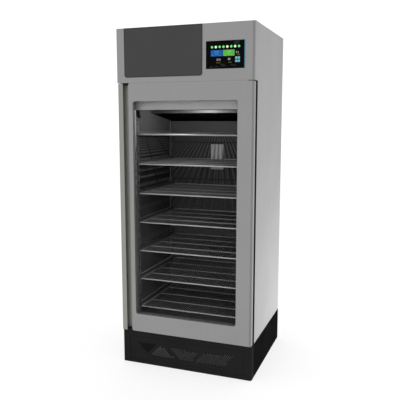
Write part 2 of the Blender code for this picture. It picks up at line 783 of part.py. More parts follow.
def build_pan():
    """The sloping tray under the evaporator, with a steel bar along its front edge."""
    start = PAN_FRONT
    end = INSIDE_BACK - GAP
    tilt = math.atan2(PAN_DROP, end - start)
    length = (end - start) / math.cos(tilt) - PAN_SHEET * math.tan(tilt)
    x = shrink((-INSIDE_X, INSIDE_X), GAP)
    pan = box(
        "evaporator_pan", x, (-length / 2, length / 2), (-PAN_SHEET / 2, PAN_SHEET / 2),
        "black_plastic",
    )
    centre_z = PAN_FRONT_Z - PAN_DROP / 2 + PAN_SHEET / 2
    pan.location = (0, front(middle((start, end))), centre_z)
    pan.rotation_euler.x = -tilt
    bar_y = (front(start - GAP * 2 - LIP_BAR_DEPTH), front(start - GAP * 2))
    bar_z = (PAN_FRONT_Z - GAP, PAN_FRONT_Z - GAP + LIP_BAR_HEIGHT)
    box(
        "pan_lip", x, bar_y, bar_z, "brushed_steel",
        rounds=((0, -1, -1), (0, -1, 1)), radius=LIP_BAR_DEPTH / 2,
    )


def pan_top(depth):
    """The height of the pan's upper face at a depth."""
    slope = PAN_DROP / (INSIDE_BACK - GAP - PAN_FRONT)
    return PAN_FRONT_Z - (depth - PAN_FRONT) * slope + 2 * PAN_SHEET


def fan_shroud(name, centre, x, z, radius, finish):
    """A plate across the air's way, with the fan's round hole."""
    y = (centre[1], centre[1] + SHROUD_SHEET)
    shroud = box(name, x, y, z, finish)
    middle_of_hole = (centre[0], middle(y), centre[2])
    hole = cylinder_cutter(
        f"{name}_hole", middle_of_hole, radius + FAN_TIP_GAP, SHROUD_SHEET + 2 * OVERRUN, "Y",
    )
    boolean(shroud, hole)


def fan_motor(name, centre, radius):
    """A motor with its shaft forward and two arms that lie on the shroud's back."""
    back = centre[1] + SHROUD_SHEET + GAP
    hub = radius * FAN_HUB_SHARE
    shape = bmesh.new()
    reach = 2 * (radius + FAN_TIP_GAP + MOTOR_ARM)
    size = Matrix.Diagonal((reach, MOTOR_ARM / 2, MOTOR_ARM, 1))
    place = Matrix.Translation((centre[0], back + MOTOR_ARM / 4, centre[2]))
    bmesh.ops.create_cube(shape, size=1.0, matrix=place @ size)
    motor = add_object(name, mesh_from(name, shape), "black_plastic")
    can = bmesh.new()
    can_y = (back, back + MOTOR_DEPTH)
    add_cylinder(can, (centre[0], middle(can_y), centre[2]), hub, MOTOR_DEPTH, "Y")
    boolean(motor, add_helper(f"{name}_can", mesh_from("can", can)), "UNION")
    shaft = bmesh.new()
    shaft_y = (centre[1] - HUB_DEPTH / 3, back + MOTOR_ARM / 4)
    length = shaft_y[1] - shaft_y[0]
    add_cylinder(shaft, (centre[0], middle(shaft_y), centre[2]), SHAFT_RADIUS, length, "Y", 12)
    boolean(motor, add_helper(f"{name}_shaft", mesh_from("shaft", shaft)), "UNION")


def fan_rotor(name, centre, radius):
    """A hub with pitched blades, about its own axis along Y."""
    hub = radius * FAN_HUB_SHARE
    rotor = cylinder(name, centre, hub, HUB_DEPTH, "black_plastic", "Y")
    rotor.location.y = centre[1] + SHROUD_SHEET - HUB_DEPTH / 2
    blades = bmesh.new()
    inner = hub * (1 - FAN_HUB_SHARE / 3)
    size = Matrix.Diagonal((radius - inner, HUB_DEPTH - 2 * BLADE_SHEET, BLADE_SHEET, 1))
    pitch = Matrix.Rotation(math.radians(FAN_BLADE_ANGLE), 4, "X")
    for index in range(FAN_BLADES):
        turn = Matrix.Rotation(index * 2 * math.pi / FAN_BLADES, 4, "Y")
        out = Matrix.Translation(((radius + inner) / 2, 0, 0))
        bmesh.ops.create_cube(blades, size=1.0, matrix=turn @ out @ pitch @ size)
    helper = add_helper(f"{name}_blades", mesh_from("blades", blades))
    helper.location = rotor.location
    boolean(rotor, helper, "UNION")
    bore = cylinder_cutter(
        f"{name}_bore", rotor.location, SHAFT_RADIUS + SHAFT_CLEARANCE,
        HUB_DEPTH + 2 * OVERRUN, "Y", 12,
    )
    boolean(rotor, bore)


def finned_block(name, x, y, z, finish):
    """A coil block with its fins' gaps cut into its front."""
    block = box(name, x, y, z, finish)
    pitch = (x[1] - x[0]) / FIN_COUNT
    slots = bmesh.new()
    depth = (y[1] - y[0]) * FIN_CUT_SHARE + OVERRUN
    size = Matrix.Diagonal((pitch * FIN_SHARE, depth, z[1] - z[0] + 2 * OVERRUN, 1))
    for index in range(FIN_COUNT):
        across = x[0] + (index + 1 / 2) * pitch
        place = Matrix.Translation((across, y[0] - OVERRUN + depth / 2, middle(z)))
        bmesh.ops.create_cube(slots, size=1.0, matrix=place @ size)
    boolean(block, add_helper(f"{name}_gaps", mesh_from("fin_gaps", slots)))


def build_evaporator():
    build_pan()
    depth = PAN_FRONT + EVAPORATOR_FAN_SETBACK
    low = pan_top(depth)
    high = INSIDE_TOP - GAP
    centre = (0, front(depth), middle((low, high)))
    x = shrink((-INSIDE_X, INSIDE_X), GAP)
    fan_shroud("evaporator_fan_shroud", centre, x, (low, high), EVAPORATOR_FAN_RADIUS, "galvanised")
    fan_motor("evaporator_fan_motor", centre, EVAPORATOR_FAN_RADIUS)
    fan_rotor("evaporator_fan_rotor", centre, EVAPORATOR_FAN_RADIUS)
    coil_y = (front(PAN_FRONT + COIL_SETBACK), front(INSIDE_BACK - COIL_BACK_GAP))
    finned_block(
        "evaporator_coil", shrink((-INSIDE_X, INSIDE_X), COIL_SIDE_MARGIN), coil_y,
        (high - COIL_HEIGHT, high), "fin_aluminium",
    )


def build_fittings():
    """The ribbed sensor cover, the door contact and the lamp."""
    wall = front(INSIDE_BACK) - GAP
    cover_top = INSIDE_TOP - COVER_TOP_DROP
    cover_x = (COVER_OFFSET - COVER_WIDTH / 2, COVER_OFFSET + COVER_WIDTH / 2)
    cover_z = (cover_top - COVER_HEIGHT, cover_top)
    cover = box("sensor_cover", cover_x, (wall - COVER_DEPTH, wall), cover_z, "grey_plastic")
    lobe = COVER_WIDTH / 3
    for index in (1, 2):
        across = cover_x[0] + index * lobe
        groove_y = (wall - COVER_DEPTH - OVERRUN, wall - COVER_DEPTH + COVER_GROOVE)
        cut_box(
            cover, f"groove_{index}", (across - COVER_GROOVE / 2, across + COVER_GROOVE / 2),
            groove_y, through(cover_z),
        )
    switch_left = -INSIDE_X + UPRIGHT_DEPTH + GAP
    switch_y = front(DOOR_ZONE + SWITCH_SETBACK)
    switch = box(
        "door_switch", (switch_left, switch_left + SWITCH_WIDTH),
        (switch_y, switch_y + SWITCH_DEPTH),
        (HEADER_BOTTOM - GAP - SWITCH_HEIGHT, HEADER_BOTTOM - GAP), "black_plastic",
    )
    foot_x = (switch_left + SWITCH_WIDTH / 2, switch_left + SWITCH_WIDTH + SWITCH_FOOT)
    low = HEADER_BOTTOM - GAP - SWITCH_HEIGHT
    foot = box_cutter(
        "door_switch_foot", foot_x, (switch_y + SWITCH_FOOT, switch_y + 2 * SWITCH_FOOT),
        (low - SWITCH_FOOT, low + SWITCH_FOOT),
    )
    boolean(switch, foot, "UNION")
    lamp_y = front(DOOR_ZONE + HEADER_DEPTH) + GAP
    lamp_z = HEADER_BOTTOM + LAMP_RISE
    box(
        "chamber_lamp", (-LAMP_LENGTH / 2, LAMP_LENGTH / 2), (lamp_y, lamp_y + LAMP_DEPTH),
        (lamp_z, lamp_z + LAMP_HEIGHT), "lamp_white",
        rounds=((0, 1, -1), (0, 1, 1)), radius=LENS_INSET,
    )


def vent_places(x, z):
    """A staggered lattice of vents, left whole along the slanting bars that divide and end it."""
    rows = int((z[1] - z[0]) / VENT_PITCH * 2) + 1
    columns = int((x[1] - x[0]) / VENT_PITCH)
    for row in range(rows):
        up = row * VENT_PITCH / 2
        risen = up / (z[1] - z[0])
        bars = [x[0] + (x[1] - x[0]) * (low + (high - low) * risen) for low, high in VENT_BAR_SHARES]
        for column in range(columns):
            across = x[0] + (column + row % 2 / 2 + 1 / 2) * VENT_PITCH
            nearest = min(abs(across - bar) for bar in bars)
            if bars[0] < across < bars[-1] and nearest > VENT_BAR_HALF:
                yield across, z[0] + up


def build_plinth():
    side = WIDTH / 2 - PLINTH_SIDE_INSET
    x = (-side, side)
    fold = (front(PLINTH_SETBACK), front(DOOR_ZONE))
    low_front = open_shell(
        "plinth_front", x, fold, (PLINTH_LIFT, PLINTH_HEIGHT), ("+Y", "+Z", "-Z"), PLINTH_SHEET,
        "plinth_black", rounds=((-1, -1, 0), (1, -1, 0)), radius=PLINTH_CORNER_RADIUS,
    )
    grille_x = (-WIDTH / 2 + GRILLE_SIDE_MARGIN, WIDTH / 2 - GRILLE_SIDE_MARGIN)
    grille_z = (PLINTH_LIFT + GRILLE_BOTTOM_MARGIN, PLINTH_HEIGHT - GRILLE_TOP_MARGIN)
    cut_box(low_front, "window", grille_x, through((fold[0], fold[0] + PLINTH_SHEET)), grille_z)
    panel_y = (fold[0] + GRILLE_RECESS, fold[0] + GRILLE_RECESS + PLINTH_SHEET)
    grille = box(
        "plinth_grille", shrink(grille_x, GAP), panel_y, shrink(grille_z, GAP), "plinth_black",
    )
    cut_vents(grille, panel_y)
    skirt_y = (front(DOOR_ZONE) + GAP, DEPTH / 2)
    open_shell(
        "plinth_skirt", x, skirt_y, (PLINTH_LIFT, BODY_BOTTOM - GAP), ("-Y", "+Z", "-Z"),
        PLINTH_SHEET, "plinth_black",
    )


def cut_vents(grille, panel_y):
    reach = WIDTH / 2 - VENT_BAND_SIDE_MARGIN
    x = (VENT_BAND_OFFSET - reach, VENT_BAND_OFFSET + reach)
    vents = bmesh.new()
    for across, up in vent_places(x, (VENT_BAND_BOTTOM, VENT_BAND_TOP)):
        centre = (across, middle(panel_y), up)
        add_cylinder(vents, centre, VENT_RADIUS, PLINTH_SHEET + 2 * OVERRUN, "Y", VENT_SIDES)
    boolean(grille, add_helper("plinth_grille_vents", mesh_from("vents", vents)))


def build_base():
    inner = WIDTH / 2 - PLINTH_SIDE_INSET - PLINTH_SHEET - GAP
    y = (front(PLINTH_SETBACK + PLINTH_CORNER_RADIUS), DEPTH / 2 - PLINTH_SHEET - GAP)
    box("base_plate", (-inner, inner), y, (BASE_RISE, BASE_TOP), "galvanised")
    profile = [
        (0, BASE_RISE - GAP),
        (STEM_RADIUS, BASE_RISE - GAP),
        (STEM_RADIUS, FOOT_PAD),
        (FOOT_RADIUS, FOOT_PAD / 2),
        (FOOT_RADIUS, 0),
        (0, 0),
    ]
    across = WIDTH / 2 - FOOT_INSET
    for name, x, place_y in (
        ("foot_front_left", -across, y[0] + FOOT_INSET),
        ("foot_front_right", across, y[0] + FOOT_INSET),
        ("foot_back_left", -across, y[1] - FOOT_INSET),
        ("foot_back_right", across, y[1] - FOOT_INSET),
    ):
        turned(name, profile, (x, place_y, 0), "black_plastic", steps=12)


def build_cooling_unit():
    low = BASE_TOP + GAP
    coil_y = front(PLINTH_SETBACK + GRILLE_RECESS + PLINTH_SHEET + CONDENSER_SETBACK)
    coil_x = (-WIDTH / 2 + CONDENSER_LEFT_MARGIN, WIDTH / 2 - CONDENSER_RIGHT_MARGIN)
    coil_z = (low, low + CONDENSER_HEIGHT)
    finned_block(
        "condenser_coil", coil_x, (coil_y, coil_y + CONDENSER_DEPTH), coil_z, "fin_aluminium",
    )
    fan_y = coil_y + CONDENSER_DEPTH + CONDENSER_FAN_SETBACK
    centre = (middle(coil_x), fan_y, middle(coil_z))
    fan_shroud(
        "condenser_fan_shroud", centre, coil_x, coil_z, CONDENSER_FAN_RADIUS, "galvanised",
    )
    fan_motor("condenser_fan_motor", centre, CONDENSER_FAN_RADIUS)
    fan_rotor("condenser_fan_rotor", centre, CONDENSER_FAN_RADIUS)
    build_compressor(low)
    build_tray(low)


def build_compressor(low):
    """A closed can: a domed top, a welded waist and a narrower foot."""
    shares = (
        (0, 1), (0.45, 0.98), (0.80, 0.88), (0.95, 0.72), (0.95, 0.50), (1, 0.48), (1, 0.42),
        (0.95, 0.40), (0.92, 0.12), (0.70, 0), (0, 0),
    )
    profile = [(COMPRESSOR_RADIUS * out, COMPRESSOR_HEIGHT * up) for out, up in shares]
    place = (-WIDTH / 2 + COMPRESSOR_SIDE_MARGIN, front(COMPRESSOR_DEPTH), low)
    turned("compressor", profile, place, "compressor_black", steps=20)


def build_tray(low):
    long, deep, tall = TRAY_SIZE
    right = WIDTH / 2 - TRAY_SIDE_MARGIN
    x = (right - long, right)
    y = (front(TRAY_DEPTH - deep / 2), front(TRAY_DEPTH + deep / 2))
    open_shell(
        "evaporation_tray", x, y, (low, low + tall), ("+Z",), TRAY_SHEET, "black_plastic",
    )


def build_gland():
    """The bush in the skirt's back that the mains lead goes in through."""
    hole = GLAND_RADIUS * GLAND_HOLE_SHARE
    profile = [
        (hole, GLAND_LENGTH),
        (GLAND_RADIUS, GLAND_LENGTH),
        (GLAND_RADIUS, 0),
        (hole, 0),
        (hole, GLAND_LENGTH),
    ]
    inside = DEPTH / 2 - PLINTH_SHEET - GAP
    across = WIDTH / 2 - GLAND_SIDE_MARGIN
    gland = turned("mains_gland", profile, (across, inside, GLAND_HEIGHT), "black_plastic")
    gland.rotation_euler.x = math.pi / 2
    centre = (across, DEPTH / 2 - PLINTH_SHEET / 2, GLAND_HEIGHT)
    cutter = cylinder_cutter(
        "plinth_skirt_gland_hole", centre, hole, PLINTH_SHEET + 2 * OVERRUN, "Y",
    )
    boolean(bpy.data.objects["plinth_skirt"], cutter)


def add_axis(name, place):
    """An empty on a joint's axis."""
    empty = bpy.data.objects.new(name, None)
    empty.location = place
    PARTS.objects.link(empty)
    return empty


def main():
    build_body()
    build_rear_cover()
    build_head()
    axis = add_axis("door_hinge_axis", (HINGE_X, front(HINGE_DEPTH), middle((DOOR_BOTTOM, DOOR_TOP))))
    build_door(axis)
    build_hinges(axis)
    build_shelves()
    build_racks()
    build_evaporator()
    build_fittings()
    build_plinth()
    build_base()
    build_cooling_unit()
    build_gland()


clear_scene()
PARTS = new_collection("fish_curing_cabinet")
CUTTERS = new_collection("cutters")
main()
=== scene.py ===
"""The looks of the fish curing cabinet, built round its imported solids.

Every class below is one sub-assembly: its sizes are its fields, and its methods shape its
meshes and give them their finishes. Lengths are metres, +Z is up and the door faces -Y.
"""

from __future__ import annotations

import json
import logging
import math
from collections.abc import Iterable, Iterator
from dataclasses import dataclass
from enum import Enum

import bmesh
import bpy
from bmesh.types import BMEdge, BMesh, BMFace, BMVert
from mathutils import Matrix, Vector

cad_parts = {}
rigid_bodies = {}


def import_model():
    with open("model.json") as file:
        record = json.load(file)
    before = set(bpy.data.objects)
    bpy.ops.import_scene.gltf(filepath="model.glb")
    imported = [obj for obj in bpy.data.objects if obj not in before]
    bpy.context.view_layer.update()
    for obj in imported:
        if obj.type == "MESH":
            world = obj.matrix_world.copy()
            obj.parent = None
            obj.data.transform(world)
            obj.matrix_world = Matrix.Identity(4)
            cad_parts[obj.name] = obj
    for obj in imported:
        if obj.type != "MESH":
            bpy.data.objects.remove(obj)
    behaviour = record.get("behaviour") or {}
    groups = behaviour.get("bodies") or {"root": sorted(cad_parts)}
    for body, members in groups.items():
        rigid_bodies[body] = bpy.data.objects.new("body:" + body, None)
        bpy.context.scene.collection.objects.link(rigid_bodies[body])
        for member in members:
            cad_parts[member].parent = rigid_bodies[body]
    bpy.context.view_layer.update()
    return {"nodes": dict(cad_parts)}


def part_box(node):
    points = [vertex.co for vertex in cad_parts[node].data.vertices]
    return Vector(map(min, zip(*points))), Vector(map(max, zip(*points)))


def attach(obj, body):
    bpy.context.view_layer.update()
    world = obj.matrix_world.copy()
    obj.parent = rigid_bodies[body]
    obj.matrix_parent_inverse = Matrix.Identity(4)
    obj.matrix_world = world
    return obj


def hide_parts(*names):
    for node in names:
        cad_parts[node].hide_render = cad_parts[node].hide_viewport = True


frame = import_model()

LOG = logging.getLogger("cabinet")

Span = tuple[float, float]
Point = tuple[float, float]
Place = tuple[float, float, float]
Outline = tuple[Point, ...]
Colour = tuple[float, float, float]
Node = bpy.types.Node
Socket = bpy.types.NodeSocket
Thing = bpy.types.Object

BLACK = (0.0, 0.0, 0.0)
WHITE = (1.0, 1.0, 1.0, 1.0)
SHARP = 1.2  # radians: the least angle between two faces whose edge is broken
HALF_TURN = math.pi
QUARTER_TURN = math.pi / 2


class Body(Enum):
    """The rigid bodies that new pieces ride on."""

    CABINET = "cabinet"
    DOOR = "door"


class Grain(Enum):
    """The way that a sheet was brushed, as stretch factors of its grain along X, Y and Z."""

    UPRIGHT = (900.0, 900.0, 9.0)
    ACROSS = (9.0, 900.0, 900.0)
    NONE = (350.0, 350.0, 350.0)


class Axis(Enum):
    """A direction in the frame."""

    X = 0
    Y = 1
    Z = 2


# Shapes


@dataclass(frozen=True)
class Block:
    """A box in the frame.

    Args:
        x: its span from left to right.
        y: its span from front to back.
        z: its span upwards.
    """

    x: Span
    y: Span
    z: Span

    @classmethod
    def of(cls, node: str) -> Block:
        """The box that a CAD node fills."""
        low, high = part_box(node)
        return cls((low.x, high.x), (low.y, high.y), (low.z, high.z))

    @property
    def centre(self) -> Vector:
        """The middle of the box."""
        return Vector([sum(span) / 2 for span in (self.x, self.y, self.z)])

    @property
    def size(self) -> Vector:
        """The box's width, depth and height."""
        return Vector([span[1] - span[0] for span in (self.x, self.y, self.z)])

    def inset(self, x: float = 0, y: float = 0, z: float = 0) -> Block:
        """The box made smaller by these margins at both ends.

        Args:
            x: the margin at the left and the right.
            y: the margin at the front and the back.
            z: the margin at the top and the bottom.

        Returns:
            The smaller box.
        """
        spans = zip((self.x, self.y, self.z), (x, y, z))
        return Block(*[(span[0] + margin, span[1] - margin) for span, margin in spans])


def cuboid(block: Block) -> BMesh:
    """A closed box mesh that fills a block."""
    mesh = bmesh.new()
    place = Matrix.Translation(block.centre) @ Matrix.Diagonal((*block.size, 1))
    bmesh.ops.create_cube(mesh, size=1.0, matrix=place)
    return mesh


def draw_out(mesh: BMesh, faces: list[BMFace], way: Place) -> None:
    """Extrudes faces by a distance along each axis."""
    grown = bmesh.ops.extrude_face_region(mesh, geom=faces)["geom"]
    moved = [item for item in grown if isinstance(item, BMVert)]
    bmesh.ops.translate(mesh, vec=way, verts=moved)


def bevel(mesh: BMesh, edges: Iterable[BMEdge], radius: float, steps: int) -> None:
    """Rounds these edges.

    Args:
        mesh: the mesh that holds the edges.
        edges: the edges to round.
        radius: the width of the rounding.
        steps: the number of faces across it.
    """
    chosen = list(edges)
    if chosen:
        bmesh.ops.bevel(
            mesh, geom=chosen, offset=radius, offset_type="OFFSET", segments=steps,
            profile=0.5, affect="EDGES", material=-1, clamp_overlap=True,
        )


def runs_along(edge: BMEdge, axis: Axis) -> bool:
    """Whether an edge lies along one axis."""
    way = (edge.verts[1].co - edge.verts[0].co).normalized()
    return abs(way[axis.value]) > 0.999


def break_edges(mesh: BMesh, rim: float) -> None:
    """Gives every edge that is still sharp a small rounding."""
    sharp = [edge for edge in mesh.edges if edge.is_manifold and edge.calc_face_angle(0) > SHARP]
    bevel(mesh, sharp, rim, 2)


def rounded(block: Block, radius: float, steps: int) -> BMesh:
    """A box with all its edges rounded alike."""
    mesh = cuboid(block)
    bevel(mesh, mesh.edges, radius, steps)
    return mesh


def rounded_along(block: Block, axis: Axis, corner: float, rim: float, steps: int) -> BMesh:
    """A box whose four edges along an axis have a large rounding, and the others a small one.

    Args:
        block: the box.
        axis: the direction of the four edges.
        corner: the radius of those edges.
        rim: the radius of every other edge.
        steps: the number of faces round each corner.

    Returns:
        The mesh.
    """
    mesh = cuboid(block)
    bevel(mesh, [edge for edge in mesh.edges if runs_along(edge, axis)], corner, steps)
    break_edges(mesh, rim)
    return mesh


def plate_ring(outer: Block, hole: Block, corner: float, outer_corner: float, rim: float) -> BMesh:
    """A frame in the XZ plane, with a hole through it along Y.

    Args:
        outer: the frame's own box.
        hole: the box whose X and Z spans are the hole's.
        corner: the radius of the hole's corners.
        outer_corner: the radius of the frame's corners.
        rim: the rounding of the front and back rims.

    Returns:
        The mesh.
    """
    mesh = bmesh.new()
    corners = [mesh.verts.new((x, outer.y[0], z)) for x, z in rectangle(outer)]
    face = mesh.faces.new(corners)
    bmesh.ops.inset_region(mesh, faces=[face], thickness=rim, use_boundary=True)
    inner = [vert for vert in mesh.verts if vert not in corners]
    for vert in inner:
        side = vert.co - outer.centre
        vert.co.x = hole.x[1] if side.x > 0 else hole.x[0]
        vert.co.z = hole.z[1] if side.z > 0 else hole.z[0]
    bmesh.ops.delete(mesh, geom=[face], context="FACES_ONLY")
    draw_out(mesh, list(mesh.faces), (0, outer.y[1] - outer.y[0], 0))
    bmesh.ops.recalc_face_normals(mesh, faces=mesh.faces)
    deep = [edge for edge in mesh.edges if runs_along(edge, Axis.Y)]
    at_hole = [edge for edge in deep if inside(edge, hole)]
    at_rim = [edge for edge in deep if edge not in at_hole]
    if corner > 0:
        bevel(mesh, at_hole, corner, 6)
    if outer_corner > 0:
        bevel(mesh, [edge for edge in at_rim if edge.is_valid], outer_corner, 5)
    break_edges(mesh, rim)
    return mesh


def rectangle(block: Block) -> list[Point]:
    """The four (x, z) corners of a block, in order."""
    (left, right), (low, high) = block.x, block.z
    return [(left, low), (right, low), (right, high), (left, high)]


def shrunk(span: Span, by: float) -> Span:
    """A span whose two ends are drawn in."""
    return (span[0] + by, span[1] - by)


def inside(edge: BMEdge, block: Block) -> bool:
    """Whether an edge's middle lies within a block's X and Z spans, ends included."""
    middle = (edge.verts[0].co + edge.verts[1].co) / 2
    slack = 1e-5
    within_x = block.x[0] - slack <= middle.x <= block.x[1] + slack
    return within_x and block.z[0] - slack <= middle.z <= block.z[1] + slack


def add(target: BMesh, other: BMesh) -> None:
    """Adds another mesh to one, and frees it."""
    passing = bpy.data.meshes.new("passing")
    other.to_mesh(passing)
    other.free()
    target.from_mesh(passing)
    bpy.data.meshes.remove(passing)


def cut(solid: BMesh, tools: BMesh) -> BMesh:
    """Takes the tools' shape out of a solid.

    Args:
        solid: the mesh that is cut. It is freed.
        tools: the meshes that are taken out. They are freed.

    Returns:
        The cut mesh.
    """
    kept, taken = [bpy.data.meshes.new(name) for name in ("kept", "taken")]
    solid.to_mesh(kept)
    tools.to_mesh(taken)
    solid.free()
    tools.free()
    whole, cutter = [bpy.data.objects.new(data.name, data) for data in (kept, taken)]
    for shown in (whole, cutter):
        bpy.context.scene.collection.objects.link(shown)
    step = whole.modifiers.new("cut", "BOOLEAN")
    step.operation = "DIFFERENCE"
    step.solver = "EXACT"
    step.object = cutter
    done = whole.evaluated_get(bpy.context.evaluated_depsgraph_get())
    result = bmesh.new()
    result.from_mesh(done.to_mesh())
    done.to_mesh_clear()
    for shown in (whole, cutter):
        bpy.data.objects.remove(shown)
    for data in (kept, taken):
        bpy.data.meshes.remove(data)
    return result


TURNS = {
    Axis.X: Matrix.Rotation(QUARTER_TURN, 4, "Y"),
    Axis.Y: Matrix.Rotation(QUARTER_TURN, 4, "X"),
}


def add_peg(
    mesh: BMesh, centre: Iterable[float], radius: float, depth: float, axis: Axis, sides: int,
) -> None:
    """Adds a closed peg, round or with a few flat sides, to a mesh.

    Args:
        mesh: the mesh that gets it.
        centre: its middle.
        radius: its radius, to its corners.
        depth: its length.
        axis: the direction that it points in.
        sides: the number of its sides.
    """
    bmesh.ops.create_cone(
        mesh, cap_ends=True, segments=sides, radius1=radius, radius2=radius, depth=depth,
        matrix=Matrix.Translation(centre) @ TURNS[axis],
    )


def rod(start: Vector, end: Vector, radius: float, sides: int) -> BMesh:
    """A straight round rod between two points, with flat ends."""
    mesh = bmesh.new()
    way = end - start
    turn = way.to_track_quat("Z", "Y").to_matrix().to_4x4()
    place = Matrix.Translation((start + end) / 2) @ turn
    bmesh.ops.create_cone(
        mesh, cap_ends=True, segments=sides, radius1=radius, radius2=radius, depth=way.length,
        matrix=place,
    )
    return mesh


def disc(centre: Vector, radius: float, depth: float, axis: Axis, sides: int) -> BMesh:
    """A flat round piece about a centre, with its edges broken."""
    mesh = bmesh.new()
    add_peg(mesh, centre, radius, depth, axis, sides)
    break_edges(mesh, min(radius, depth) / 5)
    return mesh


def extruded(points: list[Point], span: Span, radius: float) -> BMesh:
    """An outline in X and Y, drawn out upwards.

    Args:
        points: the outline's corners, in order.
        span: the heights of its two ends.
        radius: the rounding of its long edges.

    Returns:
        The mesh.
    """
    mesh = bmesh.new()
    face = mesh.faces.new([mesh.verts.new((x, y, span[0])) for x, y in points])
    draw_out(mesh, [face], (0, 0, span[1] - span[0]))
    bmesh.ops.recalc_face_normals(mesh, faces=mesh.faces)
    bevel(mesh, [edge for edge in mesh.edges if runs_along(edge, Axis.Z)], radius, 3)
    return mesh


def drawn_along_y(points: list[Point], span: Span, radius: float) -> BMesh:
    """An outline in X and Z, drawn out from front to back.

    Args:
        points: the outline's corners, in order.
        span: the Y of its two ends.
        radius: the rounding of its long edges.

    Returns:
        The mesh.
    """
    mesh = extruded(points, (-span[1], -span[0]), radius)
    turn = Matrix.Rotation(QUARTER_TURN, 3, "X")
    bmesh.ops.rotate(mesh, cent=(0, 0, 0), matrix=turn, verts=mesh.verts)
    return mesh


# Node groups that more than one finish uses


class Tree:
    """A node tree that is being built.

    Args:
        nodes_of: the Blender node tree.
    """

    def __init__(self, nodes_of: bpy.types.NodeTree) -> None:
        """Keeps the tree."""
        self.tree = nodes_of

    def add(self, kind: str, **settings: object) -> Node:
        """Adds a node and sets its properties.

        Args:
            kind: the node's type, without its ShaderNode prefix.
            settings: the properties to set.

        Returns:
            The node.
        """
        made = self.tree.nodes.new(f"ShaderNode{kind}")
        for name, value in settings.items():
            setattr(made, name, value)
        return made

    def join(self, value: object, target: Socket) -> None:
        """Links an input to a socket, or sets it where the value is a plain one."""
        if isinstance(value, Socket):
            self.tree.links.new(value, target)
        else:
            target.default_value = value

    def put(self, node: Node, **inputs: object) -> Node:
        """Sets or links a node's inputs, by their names with underscores for spaces."""
        for name, value in inputs.items():
            self.join(value, node.inputs[name.replace("_", " ")])
        return node

    def parts(self, place: Socket) -> dict[str, Socket]:
        """A vector's X, Y and Z."""
        node = self.put(self.add("SeparateXYZ"), Vector=place)
        return {axis: node.outputs[axis] for axis in ("X", "Y", "Z")}

    def math(self, operation: str, *values: object) -> Socket:
        """A Math node's result.

        Args:
            operation: the node's operation.
            values: its inputs, as sockets or numbers.

        Returns:
            The output socket.
        """
        node = self.add("Math", operation=operation)
        for target, value in zip(node.inputs, values):
            self.join(value, target)
        return node.outputs[0]

    def vector(self, operation: str, place: Socket, by: Place) -> Socket:
        """A Vector Math node's result, of a place and a constant."""
        node = self.add("VectorMath", operation=operation)
        self.join(place, node.inputs[0])
        self.join(by, node.inputs[1])
        return node.outputs[0]

    def times(self, first: object, second: object) -> Socket:
        """The product of two values."""
        return self.math("MULTIPLY", first, second)

    def less(self, first: object, second: object) -> Socket:
        """The first value less the second."""
        return self.math("SUBTRACT", first, second)

    def scaled(self, value: Socket, factor: float, start: float) -> Socket:
        """A value times a factor, on top of a start."""
        return self.math("MULTIPLY_ADD", value, factor, start)

    def mix(self, factor: object, first: object, second: object) -> Socket:
        """A colour between two, by a factor.

        Args:
            factor: 0 for the first, 1 for the second.
            first: a colour or its socket.
            second: a colour or its socket.

        Returns:
            The mixed colour's socket.
        """
        node = self.add("Mix", data_type="RGBA")
        self.join(factor, node.inputs[0])
        for index, value in ((6, first), (7, second)):
            self.join(value if isinstance(value, Socket) else (*value, 1.0), node.inputs[index])
        return node.outputs[2]

    def noise(self, place: Socket, scale: object, detail: float) -> Socket:
        """A noise value at a place.

        Args:
            place: the coordinates.
            scale: how fine the noise is, in turns a metre, or its socket.
            detail: its octaves.

        Returns:
            The value's socket.
        """
        node = self.put(self.add("TexNoise"), Vector=place, Scale=scale, Detail=detail)
        return node.outputs["Fac"]

    def ramp(
        self, value: Socket, low: float, high: float, start: float = 0.0, end: float = 1.0,
    ) -> Socket:
        """A value carried from one range to another and held within it.

        Args:
            value: the value's socket.
            low: where the first range starts.
            high: where it ends.
            start: the result at low.
            end: the result at high.

        Returns:
            The result's socket.
        """
        node = self.put(
            self.add("MapRange", clamp=True), Value=value, From_Min=low, From_Max=high,
            To_Min=start, To_Max=end,
        )
        return node.outputs["Result"]


